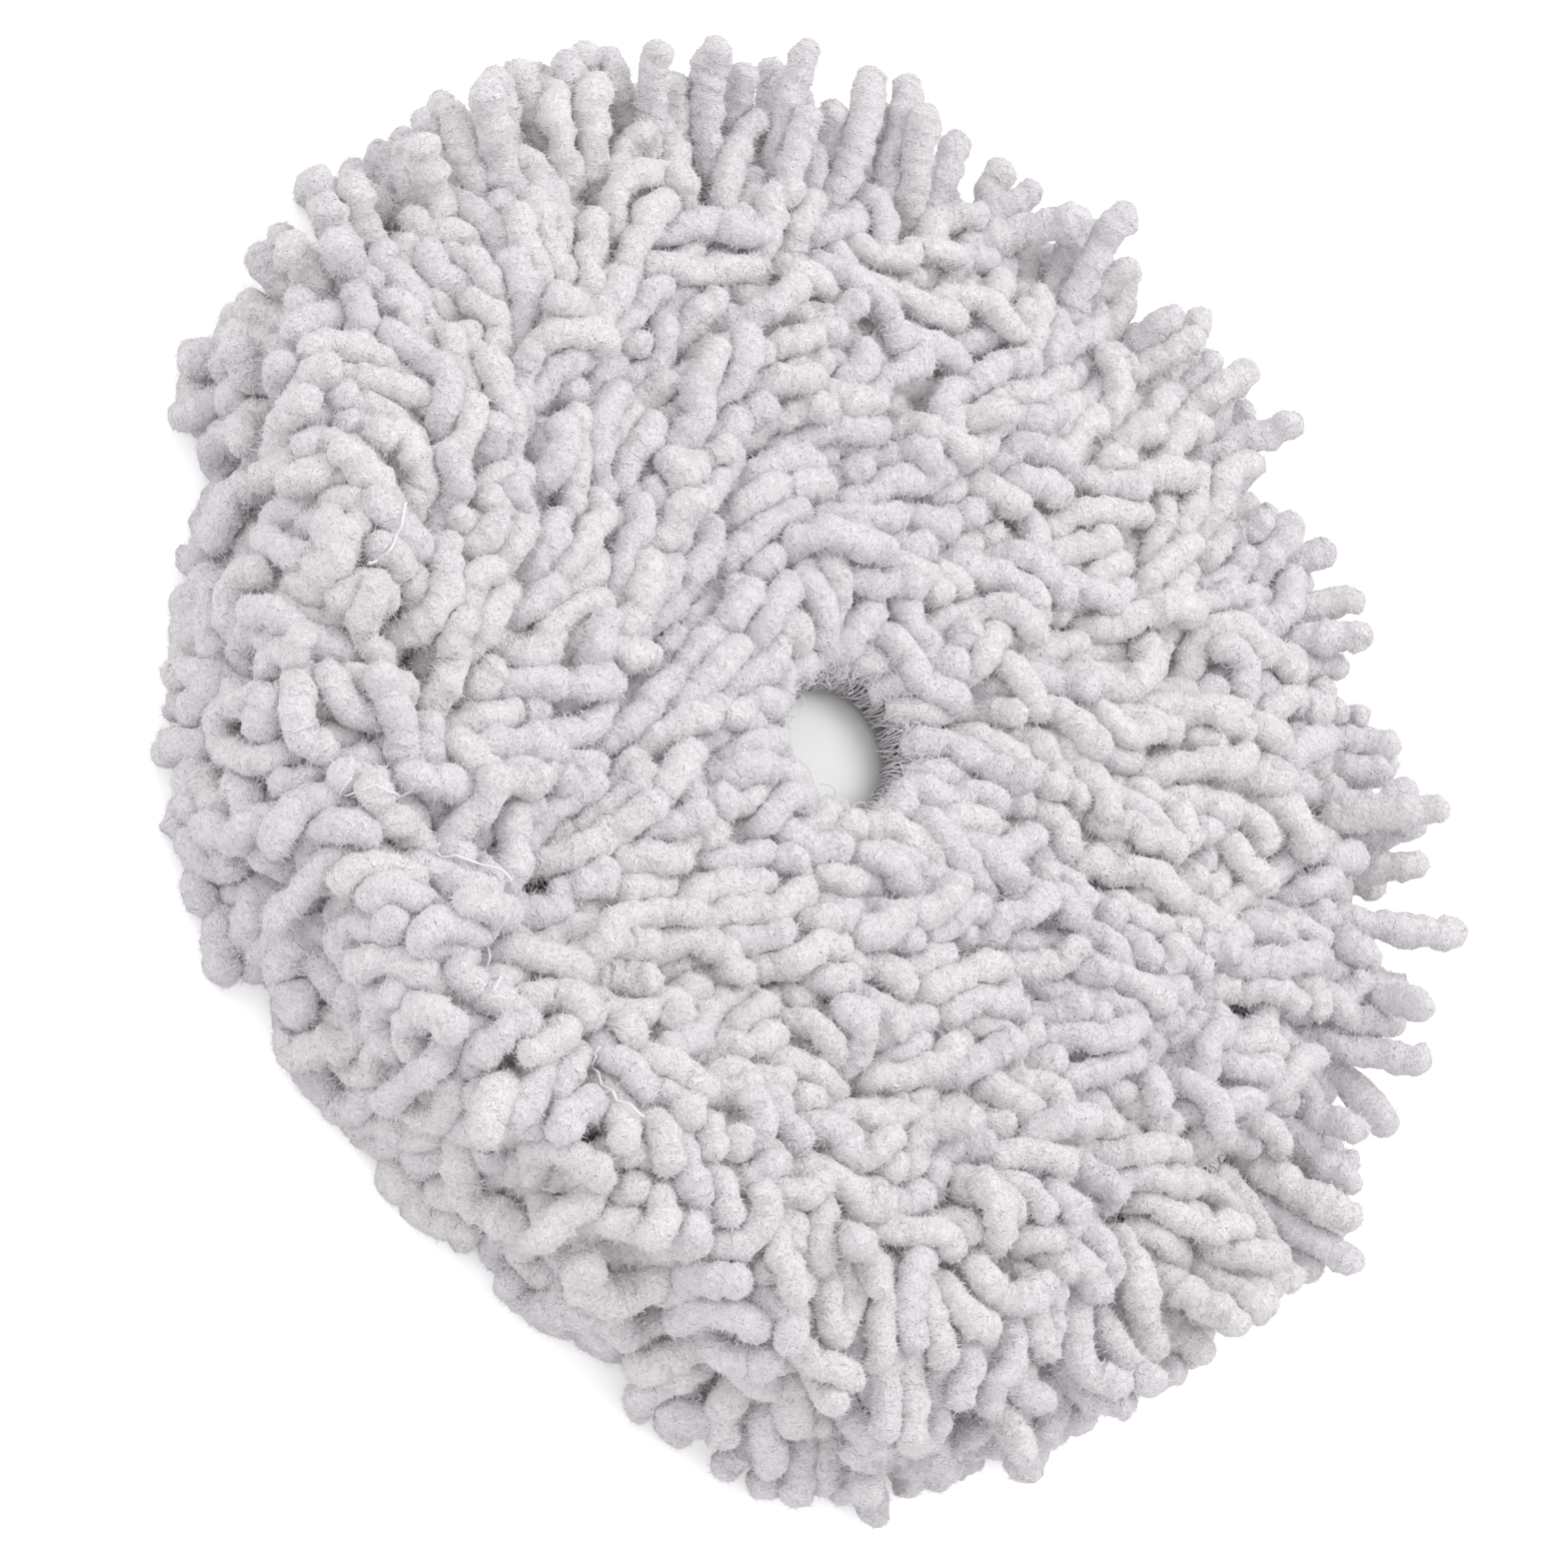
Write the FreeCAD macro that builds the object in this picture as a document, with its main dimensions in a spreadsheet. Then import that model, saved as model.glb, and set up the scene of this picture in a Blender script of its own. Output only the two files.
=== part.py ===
"""Round chenille wash wheel: a moulded head plate with a soft pile cover pulled over it.

The wheel lies on its back. The origin is the middle of the hub's back face, on the spindle's axis,
and +Z points out of the pile face. The cover has a round face and a side band, both of knit ground
set with thick chenille strands. They meet in a seam at the rim, an elastic band in the hem draws the
side in under the plate, and an overlocked hole in the face lets the plate's smooth middle show.
Lengths are millimetres.
"""

import FreeCAD
import Part
import Sketcher

import math
import os

V = FreeCAD.Vector
OUT = "parts"

SIZES = [
    # head plate: a shallow moulded dish with a hub on its back, ribs, and two rings of cross ribs
    ("head_radius", 88.0),
    ("head_top", 22.0),
    ("shell_wall", 2.6),
    ("shoulder_bevel", 6.0),
    ("hub_radius", 17.0),
    ("hub_root_bevel", 2.0),
    ("rib_count", 8),
    ("rib_thickness", 2.2),
    ("rib_hub_drop", 2.0),
    ("rib_rim_drop", 4.5),
    ("inner_cross_radius", 40.0),
    ("outer_cross_radius", 62.5),
    ("cross_rib_drop", 4.5),
    # spindle insert, moulded into the hub
    ("insert_flats", 22.0),
    ("insert_length", 16.0),
    ("thread_radius", 5.92),
    # foam cushion on the plate
    ("cushion_thickness", 4.0),
    ("cushion_hole_radius", 15.0),
    ("cushion_inset", 2.0),
    ("cushion_slope", 1.5),
    # cover
    ("cover_clearance", 0.3),
    ("ground_thickness", 0.6),
    ("band_thickness", 0.8),
    ("pile_backing", 0.6),
    ("pile_backing_gap", 0.4),
    ("pile_seam_margin", 2.2),
    ("face_hole_radius", 10.0),
    ("overlock_reach", 1.0),
    ("overlock_width", 4.0),
    ("overlock_thread", 0.9),
    ("seam_width", 2.2),
    ("seam_height", 1.6),
    ("seam_bevel", 0.6),
    ("hem_height", 3.4),
    ("hem_depth", 8.5),
    ("hem_bevel", 1.0),
    ("elastic_width", 5.0),
    ("elastic_thickness", 1.2),
    ("elastic_slack", 0.1),
    # chenille strands
    ("sectors", 8),
    ("strand_width", 5.0),
    ("strand_stub", 4.0),
    ("strand_tip_share", 0.62),
    ("face_strand_lean", 16.5),
    ("face_strand_reach", 13.8),
    ("face_strand_rise", 9.5),
    ("face_pitch", 11.4),
    ("face_comb_angle", 82.0),
    ("face_comb_fan", 0.45),
    ("hole_parting_radius", 12.5),
    ("skirt_strand_length", 25.0),
    ("skirt_pitch", 13.6),
    ("skirt_rows", 4),
    ("skirt_parting", 1.6),
    ("skirt_spread", 3.0),
    ("skirt_sway", 4.0),
    # the skirt stands up on one side of the wheel and hangs on the other
    ("skirt_hang_angle", -80.0),
    ("skirt_lift", 15.0),
    ("skirt_hang_low", 3.0),
    ("skirt_hang_stack", 14.0),
    ("skirt_hang_draw", 9.0),
]

doc = FreeCAD.newDocument("WashWheel")
sheet = doc.addObject("Spreadsheet::Sheet", "Sizes")
for row, (alias, value) in enumerate(SIZES, start=1):
    sheet.set(f"A{row}", alias)
    sheet.set(f"B{row}", str(value))
    sheet.setAlias(f"B{row}", alias)
doc.recompute()


def size(expression):
    """The value of an expression in the sheet's aliases."""
    return float(sheet.evalExpression(expression))


# levels and radii that several pieces share, as expressions in the sheet's aliases
RIM_LOW = "hem_height + cover_clearance"
CUSHION_TOP = "head_top + cushion_thickness"
GROUND_TOP = f"{CUSHION_TOP} + ground_thickness"
BAND_IN = "head_radius + cover_clearance"
BAND_OUT = f"{BAND_IN} + band_thickness"
FACE_BACKING_IN = "face_hole_radius - overlock_reach + overlock_width"
FACE_BACKING_OUT = f"{BAND_OUT} - pile_seam_margin"

pieces = []


def bound(expression):
    """The same expression as another object of the document writes it."""
    words = expression.replace("(", "( ").replace(")", " )").split()
    names = {alias for alias, _ in SIZES}
    return " ".join(f"Sizes.{w}" if w in names else w for w in words)


def piece(label, kind="PartDesign::Body"):
    made = doc.addObject(kind, label)
    made.Label = label
    pieces.append(made)
    return made


def plane(body, role):
    return next(f for f in body.Origin.OriginFeatures if f.Role == role)


def outline(body, name, points, role="XZ_Plane"):
    """A closed sketch through points given as pairs of expressions."""
    sketch = body.newObject("Sketcher::SketchObject", name)
    sketch.AttachmentSupport = [(plane(body, role), "")]
    sketch.MapMode = "FlatFace"
    at = [V(size(x), size(y), 0) for x, y in points]
    for i, corner in enumerate(at):
        sketch.addGeometry(Part.LineSegment(corner, at[(i + 1) % len(at)]), False)
    for i in range(len(at)):
        sketch.addConstraint(Sketcher.Constraint("Coincident", i, 2, (i + 1) % len(at), 1))
    for i, (x, y) in enumerate(points):
        for kind, expression, value in (("DistanceX", x, at[i].x), ("DistanceY", y, at[i].y)):
            index = sketch.addConstraint(Sketcher.Constraint(kind, -1, 1, i, 1, value))
            sketch.setExpression(f"Constraints[{index}]", bound(expression))
    return sketch


def turned(body, name, points):
    """A full revolution of a section about the spindle's axis."""
    sketch = outline(body, name + "_section", points)
    turn = body.newObject("PartDesign::Revolution", name)
    turn.Profile = sketch
    turn.ReferenceAxis = (sketch, ["V_Axis"])
    turn.Angle = 360.0
    doc.recompute()
    return turn


def bevel(body, name, base, circles, width):
    """Bevels the round edges that lie at the given pairs of radius and height."""
    wanted = [(size(r), size(z)) for r, z in circles]
    names = []
    for i, edge in enumerate(base.Shape.Edges, start=1):
        if not isinstance(edge.Curve, Part.Circle):
            continue
        for r, z in wanted:
            if abs(edge.Curve.Radius - r) < 0.01 and abs(edge.Curve.Center.z - z) < 0.01:
                names.append(f"Edge{i}")
    made = body.newObject("PartDesign::Chamfer", name)
    made.Base = (base, names)
    made.setExpression("Size", bound(width))
    doc.recompute()
    return made


# Head plate: an injection-moulded dish, open at the back, whose hub is moulded round the spindle
# insert. Ribs run from the hub to the wall, and two rings of cross ribs tie them together.
head = piece("head_plate")
PLATE_UNDER = "head_top - shell_wall"
WALL_IN = "head_radius - shell_wall"
dish = turned(head, "dish", [
    ("0", "0"),
    ("hub_radius", "0"),
    ("hub_radius", PLATE_UNDER),
    (WALL_IN, PLATE_UNDER),
    (WALL_IN, RIM_LOW),
    ("head_radius", RIM_LOW),
    ("head_radius", "head_top"),
    ("0", "head_top"),
])
shoulder = bevel(head, "shoulder", dish, [("head_radius", "head_top")], "shoulder_bevel")
inner = bevel(head, "inner_shoulder", shoulder, [(WALL_IN, PLATE_UNDER)], "shoulder_bevel - shell_wall")
bevel(head, "hub_root", inner, [("hub_radius", PLATE_UNDER)], "hub_root_bevel")



def rib_pad(name, points, length):
    """A section in the XZ plane, made as long as an expression says, half to each side of it."""
    pad = head.newObject("PartDesign::Pad", name)
    pad.Profile = outline(head, name + "_section", points)
    pad.Midplane = True
    pad.setExpression("Length", bound(length))
    doc.recompute()
    return pad


# each rib's top follows the shoulder inside the shell's wall
first_ribs = [rib_pad("rib", [
    ("hub_radius - shell_wall / 2", "rib_hub_drop"),
    ("head_radius - shell_wall / 3", "rib_rim_drop"),
    ("head_radius - shell_wall / 3", "head_top - shoulder_bevel"),
    ("head_radius - shoulder_bevel", "head_top - shell_wall / 3"),
    ("hub_radius - shell_wall / 2", "head_top - shell_wall / 3"),
], "rib_thickness")]

# a cross rib crosses a rib squarely and meets its neighbours halfway to the next ribs
for ring in ("inner", "outer"):
    near = f"{ring}_cross_radius - rib_thickness / 2"
    far = f"{ring}_cross_radius + rib_thickness / 2"
    first_ribs.append(rib_pad(f"{ring}_cross_rib", [
        (near, "cross_rib_drop"),
        (far, "cross_rib_drop"),
        (far, "head_top - shell_wall / 2"),
        (near, "head_top - shell_wall / 2"),
    ], f"2 * ({far}) * tan(180 / rib_count)"))

ribs = head.newObject("PartDesign::PolarPattern", "ribs")
ribs.Originals = first_ribs
ribs.Axis = (plane(head, "Z_Axis"), [""])
ribs.Angle = 360.0
ribs.setExpression("Occurrences", bound("rib_count"))
head.Tip = ribs
doc.recompute()


def hexagon(body, name, flats):
    """A hexagon in the XY plane, its corners placed by its width across flats."""
    corners = []
    for i in range(6):
        along = f"{flats} * {math.cos(math.radians(60 * i)) / math.sqrt(3):.9f}"
        across = f"{flats} * {math.sin(math.radians(60 * i)) / math.sqrt(3):.9f}"
        corners.append((along, across))
    return outline(body, name, corners, "XY_Plane")


seat = head.newObject("PartDesign::Pocket", "insert_seat")
seat.Profile = hexagon(head, "insert_seat_section", "insert_flats")
seat.Reversed = True
seat.setExpression("Length", bound("insert_length"))
before = ribs.Shape.Volume
doc.recompute()
print("insert seat removes", round(before - seat.Shape.Volume), "mm3")

# Spindle insert: a steel hexagon bored through at the inner radius of the spindle's thread
insert = piece("spindle_insert")
bar = insert.newObject("PartDesign::Pad", "hexagon_bar")
bar.Profile = hexagon(insert, "hexagon_section", "insert_flats")
bar.setExpression("Length", bound("insert_length"))
doc.recompute()
bore_section = outline(insert, "bore_section", [
    ("0", "0"),
    ("thread_radius", "0"),
    ("thread_radius", "insert_length"),
    ("0", "insert_length"),
])
bore = insert.newObject("PartDesign::Groove", "spindle_bore")
bore.Profile = bore_section
bore.ReferenceAxis = (bore_section, ["V_Axis"])
bore.Angle = 360.0
doc.recompute()

# Foam cushion: a soft ring glued on the plate, so that the face gives a little
cushion = piece("foam_cushion")
CUSHION_OUT = "head_radius - cushion_inset"
turned(cushion, "foam_ring", [
    ("cushion_hole_radius", "head_top"),
    (CUSHION_OUT, "head_top"),
    (f"{CUSHION_OUT} - cushion_slope", CUSHION_TOP),
    ("cushion_hole_radius", CUSHION_TOP),
])

# Cover: the face's knit ground lies on the foam and over the top edge of the side band
face = piece("face_ground")
turned(face, "face_disc", [
    ("face_hole_radius", CUSHION_TOP),
    (BAND_OUT, CUSHION_TOP),
    (BAND_OUT, GROUND_TOP),
    ("face_hole_radius", GROUND_TOP),
])

band = piece("skirt_ground")
turned(band, "side_band", [
    (BAND_IN, "hem_height"),
    (BAND_OUT, "hem_height"),
    (BAND_OUT, CUSHION_TOP),
    (BAND_IN, CUSHION_TOP),
])

# Hole edge: overlock thread wrapped over the face's cut edge
overlock = piece("hole_overlock")
OVERLOCK_IN = "face_hole_radius - overlock_reach"
OVERLOCK_TOP = f"{GROUND_TOP} + overlock_thread"
turned(overlock, "thread_wrap", [
    (OVERLOCK_IN, CUSHION_TOP),
    ("face_hole_radius", CUSHION_TOP),
    ("face_hole_radius", GROUND_TOP),
    (FACE_BACKING_IN, GROUND_TOP),
    (FACE_BACKING_IN, OVERLOCK_TOP),
    (OVERLOCK_IN, OVERLOCK_TOP),
])

# Rim seam: the sewn edge that joins the face to the band stands up as a small roll
seam = piece("rim_seam")
SEAM_IN = f"{BAND_OUT} - seam_width"
SEAM_TOP = f"{GROUND_TOP} + seam_height"
turned(seam, "seam_roll", [
    (SEAM_IN, GROUND_TOP),
    (BAND_OUT, GROUND_TOP),
    (f"{BAND_OUT} - seam_bevel", SEAM_TOP),
    (f"{SEAM_IN} + seam_bevel", SEAM_TOP),
])

# Hem: the band's lower edge turned in under the plate's rim and sewn into a channel
hem = piece("hem_channel")
HEM_IN = f"{BAND_OUT} - hem_depth"
turned(hem, "hem_fold", [
    (f"{HEM_IN} + hem_bevel", "0"),
    (f"{BAND_OUT} - hem_bevel", "0"),
    (BAND_OUT, "hem_height"),
    (HEM_IN, "hem_height"),
])

# Elastic: a flat woven band in the hem's channel, halfway across and halfway up
ELASTIC_IN = f"{BAND_OUT} - hem_depth / 2 - elastic_width / 2"
ELASTIC_OUT = f"{BAND_OUT} - hem_depth / 2 + elastic_width / 2"
ELASTIC_LOW = "hem_height / 2 - elastic_thickness / 2"
ELASTIC_TOP = "hem_height / 2 + elastic_thickness / 2"
channel_section = outline(hem, "channel_section", [
    (f"{ELASTIC_IN} - elastic_slack", f"{ELASTIC_LOW} - elastic_slack"),
    (f"{ELASTIC_OUT} + elastic_slack", f"{ELASTIC_LOW} - elastic_slack"),
    (f"{ELASTIC_OUT} + elastic_slack", f"{ELASTIC_TOP} + elastic_slack"),
    (f"{ELASTIC_IN} - elastic_slack", f"{ELASTIC_TOP} + elastic_slack"),
])
channel = hem.newObject("PartDesign::Groove", "elastic_channel")
channel.Profile = channel_section
channel.ReferenceAxis = (channel_section, ["V_Axis"])
channel.Angle = 360.0
doc.recompute()

elastic = piece("elastic_band")
turned(elastic, "woven_band", [
    (ELASTIC_IN, ELASTIC_LOW),
    (ELASTIC_OUT, ELASTIC_LOW),
    (ELASTIC_OUT, ELASTIC_TOP),
    (ELASTIC_IN, ELASTIC_TOP),
])


# Pile: thick chenille strands knitted into a strip of their backing, in sectors round the wheel.
# A strand has four sides and a slimmer end. A face strand stands straight out of its backing, then
# leans, and a skirt strand runs straight to its tip.
def ring_of(centre, across, through, width):
    """The four corners of a strand's section."""
    right, back = across * (width / 2), through * (width / 2)
    return [centre - right - back, centre + right - back, centre + right + back, centre - right + back]


def strand(base, out, tip, stub):
    """One strand from its root on the backing: out of it by a stub, then straight to its tip."""
    width = size("strand_width")
    end_width = width * size("strand_tip_share")
    deep = size("pile_backing") / 2
    bend = base + out * stub
    run = (tip - bend).normalize()
    across = out.cross(run).normalize()
    square = out.cross(across)
    if stub:
        lean = run.cross(across)
        rings = [ring_of(base - out * deep, across, square, width), ring_of(bend, across, lean, width),
                 ring_of(tip, across, lean, end_width)]
    else:
        rise = out.dot(run)
        slant = square * (1 / rise)
        foot = base - run * (deep / rise)
        rings = [ring_of(foot, across, slant, width), ring_of(tip, across, slant, end_width)]
    flats = [rings[0], rings[-1]]
    for low, high in zip(rings, rings[1:]):
        flats += [[low[i], low[i - 1], high[i - 1], high[i]] for i in range(4)]
    faces = [Part.Face(Part.makePolygon(flat + flat[:1])) for flat in flats]
    return Part.makeSolid(Part.makeShell(faces))


def comb(x, y):
    """How far and which way the face pile leans at a point, as a share of its reach.

    The pile is combed across the wheel, fans out a little and parts round the hole.
    """
    turn = math.radians(size("face_comb_angle") - size("face_comb_fan") * x)
    flow = V(math.cos(turn), math.sin(turn), 0)
    away = V(x, y, 0)
    share = min(1.0, (size("hole_parting_radius") / away.Length) ** 2)
    away.normalize()
    flow = flow + (flow - away * (2 * flow.dot(away))) * share
    flow = flow * (1 / max(flow.Length, 1.0))
    return flow


def sector_of(angle):
    return int((math.degrees(angle) % 360.0) / (360.0 / size("sectors")))


def wedge(inner, outer, low, high, sector, flats):
    """One sector of a ring of backing, each of its curved sides laid out in so many flats."""
    turn = 2 * math.pi / size("sectors")
    angles = [turn * (sector + i / flats) for i in range(flats + 1)]
    stretch = 1 / math.cos(turn / flats / 2)
    ring = [V(inner * stretch * math.cos(a), inner * stretch * math.sin(a), low) for a in angles]
    ring += [V(outer * stretch * math.cos(a), outer * stretch * math.sin(a), low) for a in reversed(angles)]
    return Part.Face(Part.makePolygon(ring + ring[:1])).extrude(V(0, 0, high - low))


def pile(label, strips, roots):
    """Sets the strands of each sector on its strip, one node a sector."""
    for sector, strip in enumerate(strips):
        strands = [strand(*root) for angle, root in roots if sector_of(angle) == sector]
        made = piece(f"{label}_{sector + 1}", "Part::Feature")
        made.Shape = strip.multiFuse(strands)
        made.Placement = FreeCAD.Placement()


def ring_roots(radius, pitch, stagger):
    """Angles of the strands on a circle: the same number in each sector, clear of its ends."""
    sectors = int(size("sectors"))
    each = max(1, round(2 * math.pi * radius / pitch / sectors))
    step = 2 * math.pi / (each * sectors)
    return [(i + stagger) * step for i in range(each * sectors)]


face_low = size(GROUND_TOP)
face_high = face_low + size("pile_backing")
face_in = size(FACE_BACKING_IN)
face_out = size(FACE_BACKING_OUT)
half = size("strand_width / 2")
reach = size("face_strand_reach")
first = face_in + half + size("pile_backing_gap")
last = face_out - half - size("pile_backing_gap")
rings = max(2, round((last - first) / size("face_pitch")) + 1)

face_roots = []
for ring_number in range(rings):
    radius = first + (last - first) * ring_number / (rings - 1)
    for angle in ring_roots(radius, size("face_pitch"), 0.3 if ring_number % 2 else 0.7):
        spot = V(radius * math.cos(angle), radius * math.sin(angle), face_high)
        side = comb(spot.x, spot.y) * reach
        rise = math.sqrt(size("face_strand_lean") ** 2 - side.Length**2)
        rise = min(rise, size("face_strand_rise"))
        tip = spot + side + V(0, 0, size("strand_stub") + rise)
        face_roots.append((angle, (spot, V(0, 0, 1), tip, size("strand_stub"))))
face_strips = [wedge(face_in, face_out, face_low, face_high, i, 3) for i in range(int(size("sectors")))]
pile("face_pile", face_strips, face_roots)

band_in = size(BAND_OUT)
band_out = band_in + size("pile_backing")
band_low = size("hem_height + pile_backing")
band_high = size(f"{CUSHION_TOP} - pile_backing")
rows = int(size("skirt_rows"))
room = (band_high - band_low - size("skirt_parting")) / rows



def skirt_end(level, angle):
    """How far out and how high the tip of a side strand is, from its root's level and angle."""
    share = (level - band_low) / (band_high - band_low)
    hang = math.cos(angle - math.radians(size("skirt_hang_angle")))
    level_end = level + size("skirt_spread") * (2 * share - 1)
    if hang > 0:
        low = size("skirt_hang_low") + size("skirt_hang_stack") * share
        high = level_end + (low - level_end) * hang
    else:
        high = level_end - size("skirt_lift") * share * hang
    out = math.sqrt(size("skirt_strand_length") ** 2 - (high - level) ** 2)
    return out - size("skirt_hang_draw") * max(hang, 0.0), high


skirt_roots = []
for row in range(rows):
    level = band_low + room * (row + 0.5) + (size("skirt_parting") if row >= rows / 2 else 0.0)
    for angle in ring_roots(band_out, size("skirt_pitch"), 0.27 if row % 2 else 0.73):
        out = V(math.cos(angle), math.sin(angle), 0)
        round_way = V(-math.sin(angle), math.cos(angle), 0)
        sway = size("skirt_sway") * math.sin(3 * angle)
        spot = out * band_out + V(0, 0, level)
        far, high = skirt_end(level, angle)
        tip = out * (band_out + far) + round_way * sway + V(0, 0, high)
        skirt_roots.append((angle, (spot, out, tip, 0.0)))
flats = len(ring_roots(band_out, size("skirt_pitch"), 0)) // int(size("sectors"))
skirt_strips = [wedge(band_in, band_out, band_low, band_high, i, flats) for i in range(int(size("sectors")))]
pile("skirt_pile", skirt_strips, skirt_roots)
print("strands:", len(face_roots), "on the face,", len(skirt_roots), "on the skirt")

doc.recompute()
for item in doc.Objects:
    for word in ("Invalid", "Error"):
        if word in item.State:
            raise RuntimeError(f"{item.Label} is {word}")
for item in pieces:
    if item.Shape.isNull() or not item.Shape.isValid() or not item.Shape.Solids:
        raise RuntimeError(f"{item.Label} has no valid shape")

os.makedirs(OUT, exist_ok=True)
for item in pieces:
    item.Shape.exportStep(os.path.join(OUT, item.Label + ".step"))
    print(item.Label, len(item.Shape.Solids), "solid,", round(item.Shape.Volume), "mm3")
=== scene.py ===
"""Round chenille wash wheel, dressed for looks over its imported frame.

Lengths in the sections are millimetres; MM turns them to Blender's metres.
"""

import math

import bpy
import numpy as np
from mathutils import Matrix, Vector, kdtree


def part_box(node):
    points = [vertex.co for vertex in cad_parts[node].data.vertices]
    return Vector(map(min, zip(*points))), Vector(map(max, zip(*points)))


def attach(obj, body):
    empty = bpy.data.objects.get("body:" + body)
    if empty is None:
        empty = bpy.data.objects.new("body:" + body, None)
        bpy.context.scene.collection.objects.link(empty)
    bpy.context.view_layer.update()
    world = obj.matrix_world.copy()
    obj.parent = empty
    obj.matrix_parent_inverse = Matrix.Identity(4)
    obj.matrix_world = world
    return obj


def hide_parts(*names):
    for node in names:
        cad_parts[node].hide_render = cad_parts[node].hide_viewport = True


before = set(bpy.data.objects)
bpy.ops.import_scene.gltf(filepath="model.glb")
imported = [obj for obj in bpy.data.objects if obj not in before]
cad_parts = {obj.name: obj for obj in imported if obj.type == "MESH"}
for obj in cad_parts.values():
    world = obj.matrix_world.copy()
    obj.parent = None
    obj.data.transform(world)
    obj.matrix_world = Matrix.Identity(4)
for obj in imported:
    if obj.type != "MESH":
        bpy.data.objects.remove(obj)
bpy.ops.object.select_all(action="DESELECT")
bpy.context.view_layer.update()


# Head plate: an injection-moulded polypropylene dish, ribbed on its back. Its smooth middle shows
# through the cover's hole; the skin is fine-grained from the tool and faintly glossy.
MM = 0.001


def colour(code):
    """Linear RGBA from an sRGB hex value."""
    parts = [int(code[i:i + 2], 16) / 255 for i in (1, 3, 5)]
    return [c / 12.92 if c <= 0.04045 else ((c + 0.055) / 1.055) ** 2.4 for c in parts] + [1.0]


def new_material(name):
    """A material and its shader."""
    material = bpy.data.materials.new(name)
    material.use_nodes = True
    return material, material.node_tree.nodes["Principled BSDF"]


def add_node(owner, kind, links=None, **settings):
    """Adds a shader node to a material or the world; links holds its inputs, as sockets or values."""
    node = owner.node_tree.nodes.new("ShaderNode" + kind)
    for name, value in settings.items():
        setattr(node, name, value)
    for name, value in (links or {}).items():
        if isinstance(value, bpy.types.NodeSocket):
            owner.node_tree.links.new(value, node.inputs[name])
        else:
            node.inputs[name].default_value = value
    return node


def join(material, output, node, name):
    """Links an output to an input of a node that is there already."""
    material.node_tree.links.new(output, node.inputs[name])


def per_mm(length):
    """A texture's scale for features of that many millimetres."""
    return 1 / (length * MM)


moulded, shader = new_material("polypropylene_moulded")
place = add_node(moulded, "TexCoord").outputs["Object"]
cloud = add_node(moulded, "TexNoise", {"Vector": place, "Scale": per_mm(14), "Detail": 3.0})
tint = add_node(moulded, "ValToRGB", {"Fac": cloud.outputs["Fac"]})
tint.color_ramp.elements[0].color = colour("#DCDDDB")
tint.color_ramp.elements[1].color = colour("#E7E8E6")
grain = add_node(moulded, "TexNoise", {"Vector": place, "Scale": per_mm(0.5), "Detail": 2.0})
skin = add_node(moulded, "Bump", {"Height": grain.outputs["Fac"], "Strength": 0.25, "Distance": 0.05 * MM})
join(moulded, tint.outputs["Color"], shader, "Base Color")
join(moulded, skin.outputs["Normal"], shader, "Normal")
shader.inputs["Roughness"].default_value = 0.42
shader.inputs["IOR"].default_value = 1.49
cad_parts["head_plate"].data.materials.clear()
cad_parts["head_plate"].data.materials.append(moulded)


# Spindle insert: a zinc-plated steel hexagon, turned, tapped M14 and moulded into the hub. The bore's
# thread runs its whole length, and the plating has a soft, slightly bluish shine.
INSERT_LENGTH = 16.0
INSERT_FLATS = 22.0
THREAD_CREST = 5.92
THREAD_ROOT = 7.0
THREAD_LEAD = 2.0
CHAMFER_HEIGHT = 1.0
CHAMFER_DEPTH = 0.6
CORNER = 1.09  # the corners are turned off at this share of half the width across flats


def new_piece(name, points, faces, material):
    """A mesh piece, its points in metres, fixed to the wheel's one body."""
    mesh = bpy.data.meshes.new(name)
    mesh.from_pydata(points, [], faces)
    mesh.shade_smooth()
    mesh.materials.append(material)
    piece = bpy.data.objects.new(name, mesh)
    bpy.context.scene.collection.objects.link(piece)
    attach(piece, "root")
    return piece


def ring_piece(name, section, segments, material):
    """A closed ring: section gives radius and height, as two arrays, for an angle, and it runs
    from the outside over the top to the inside."""
    points = []
    for turn in np.arange(segments) * 2 * math.pi / segments:
        radius, height = section(turn)
        x, y = radius * math.cos(turn), radius * math.sin(turn)
        points.append(np.column_stack([x, y, height + 0 * radius]))
    size = len(points[0])
    faces = []
    for i in range(segments):
        here, there = i * size, (i + 1) % segments * size
        faces += [(here + k, there + k, there + (k + 1) % size, here + (k + 1) % size) for k in range(size)]
    return new_piece(name, (np.vstack(points) * MM).tolist(), faces, material)


def insert_section(turn):
    """The hexagon's side with its chamfered ends, and the thread in the bore."""
    bore = np.linspace(INSERT_LENGTH, 0, 65)
    tooth = np.abs(((bore / THREAD_LEAD - turn / (2 * math.pi)) % 1) * 2 - 1)
    # the crests and roots are cut flat, and both mouths are opened to the thread's full depth
    depth = (THREAD_ROOT - THREAD_CREST) * np.clip(1.3 * tooth - 0.15, 0, 1)
    depth[[0, -1]] = THREAD_ROOT - THREAD_CREST
    flat = INSERT_FLATS / 2 / math.cos((turn + math.pi / 6) % (math.pi / 3) - math.pi / 6)
    end = min(flat, INSERT_FLATS / 2 * CORNER) - CHAMFER_DEPTH
    outside = np.array([
        [end, 0.0], [flat, CHAMFER_HEIGHT], [flat, INSERT_LENGTH - CHAMFER_HEIGHT], [end, INSERT_LENGTH],
    ])
    section = np.vstack([outside, np.column_stack([THREAD_CREST + depth, bore])])
    return section[:, 0], section[:, 1]


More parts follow.
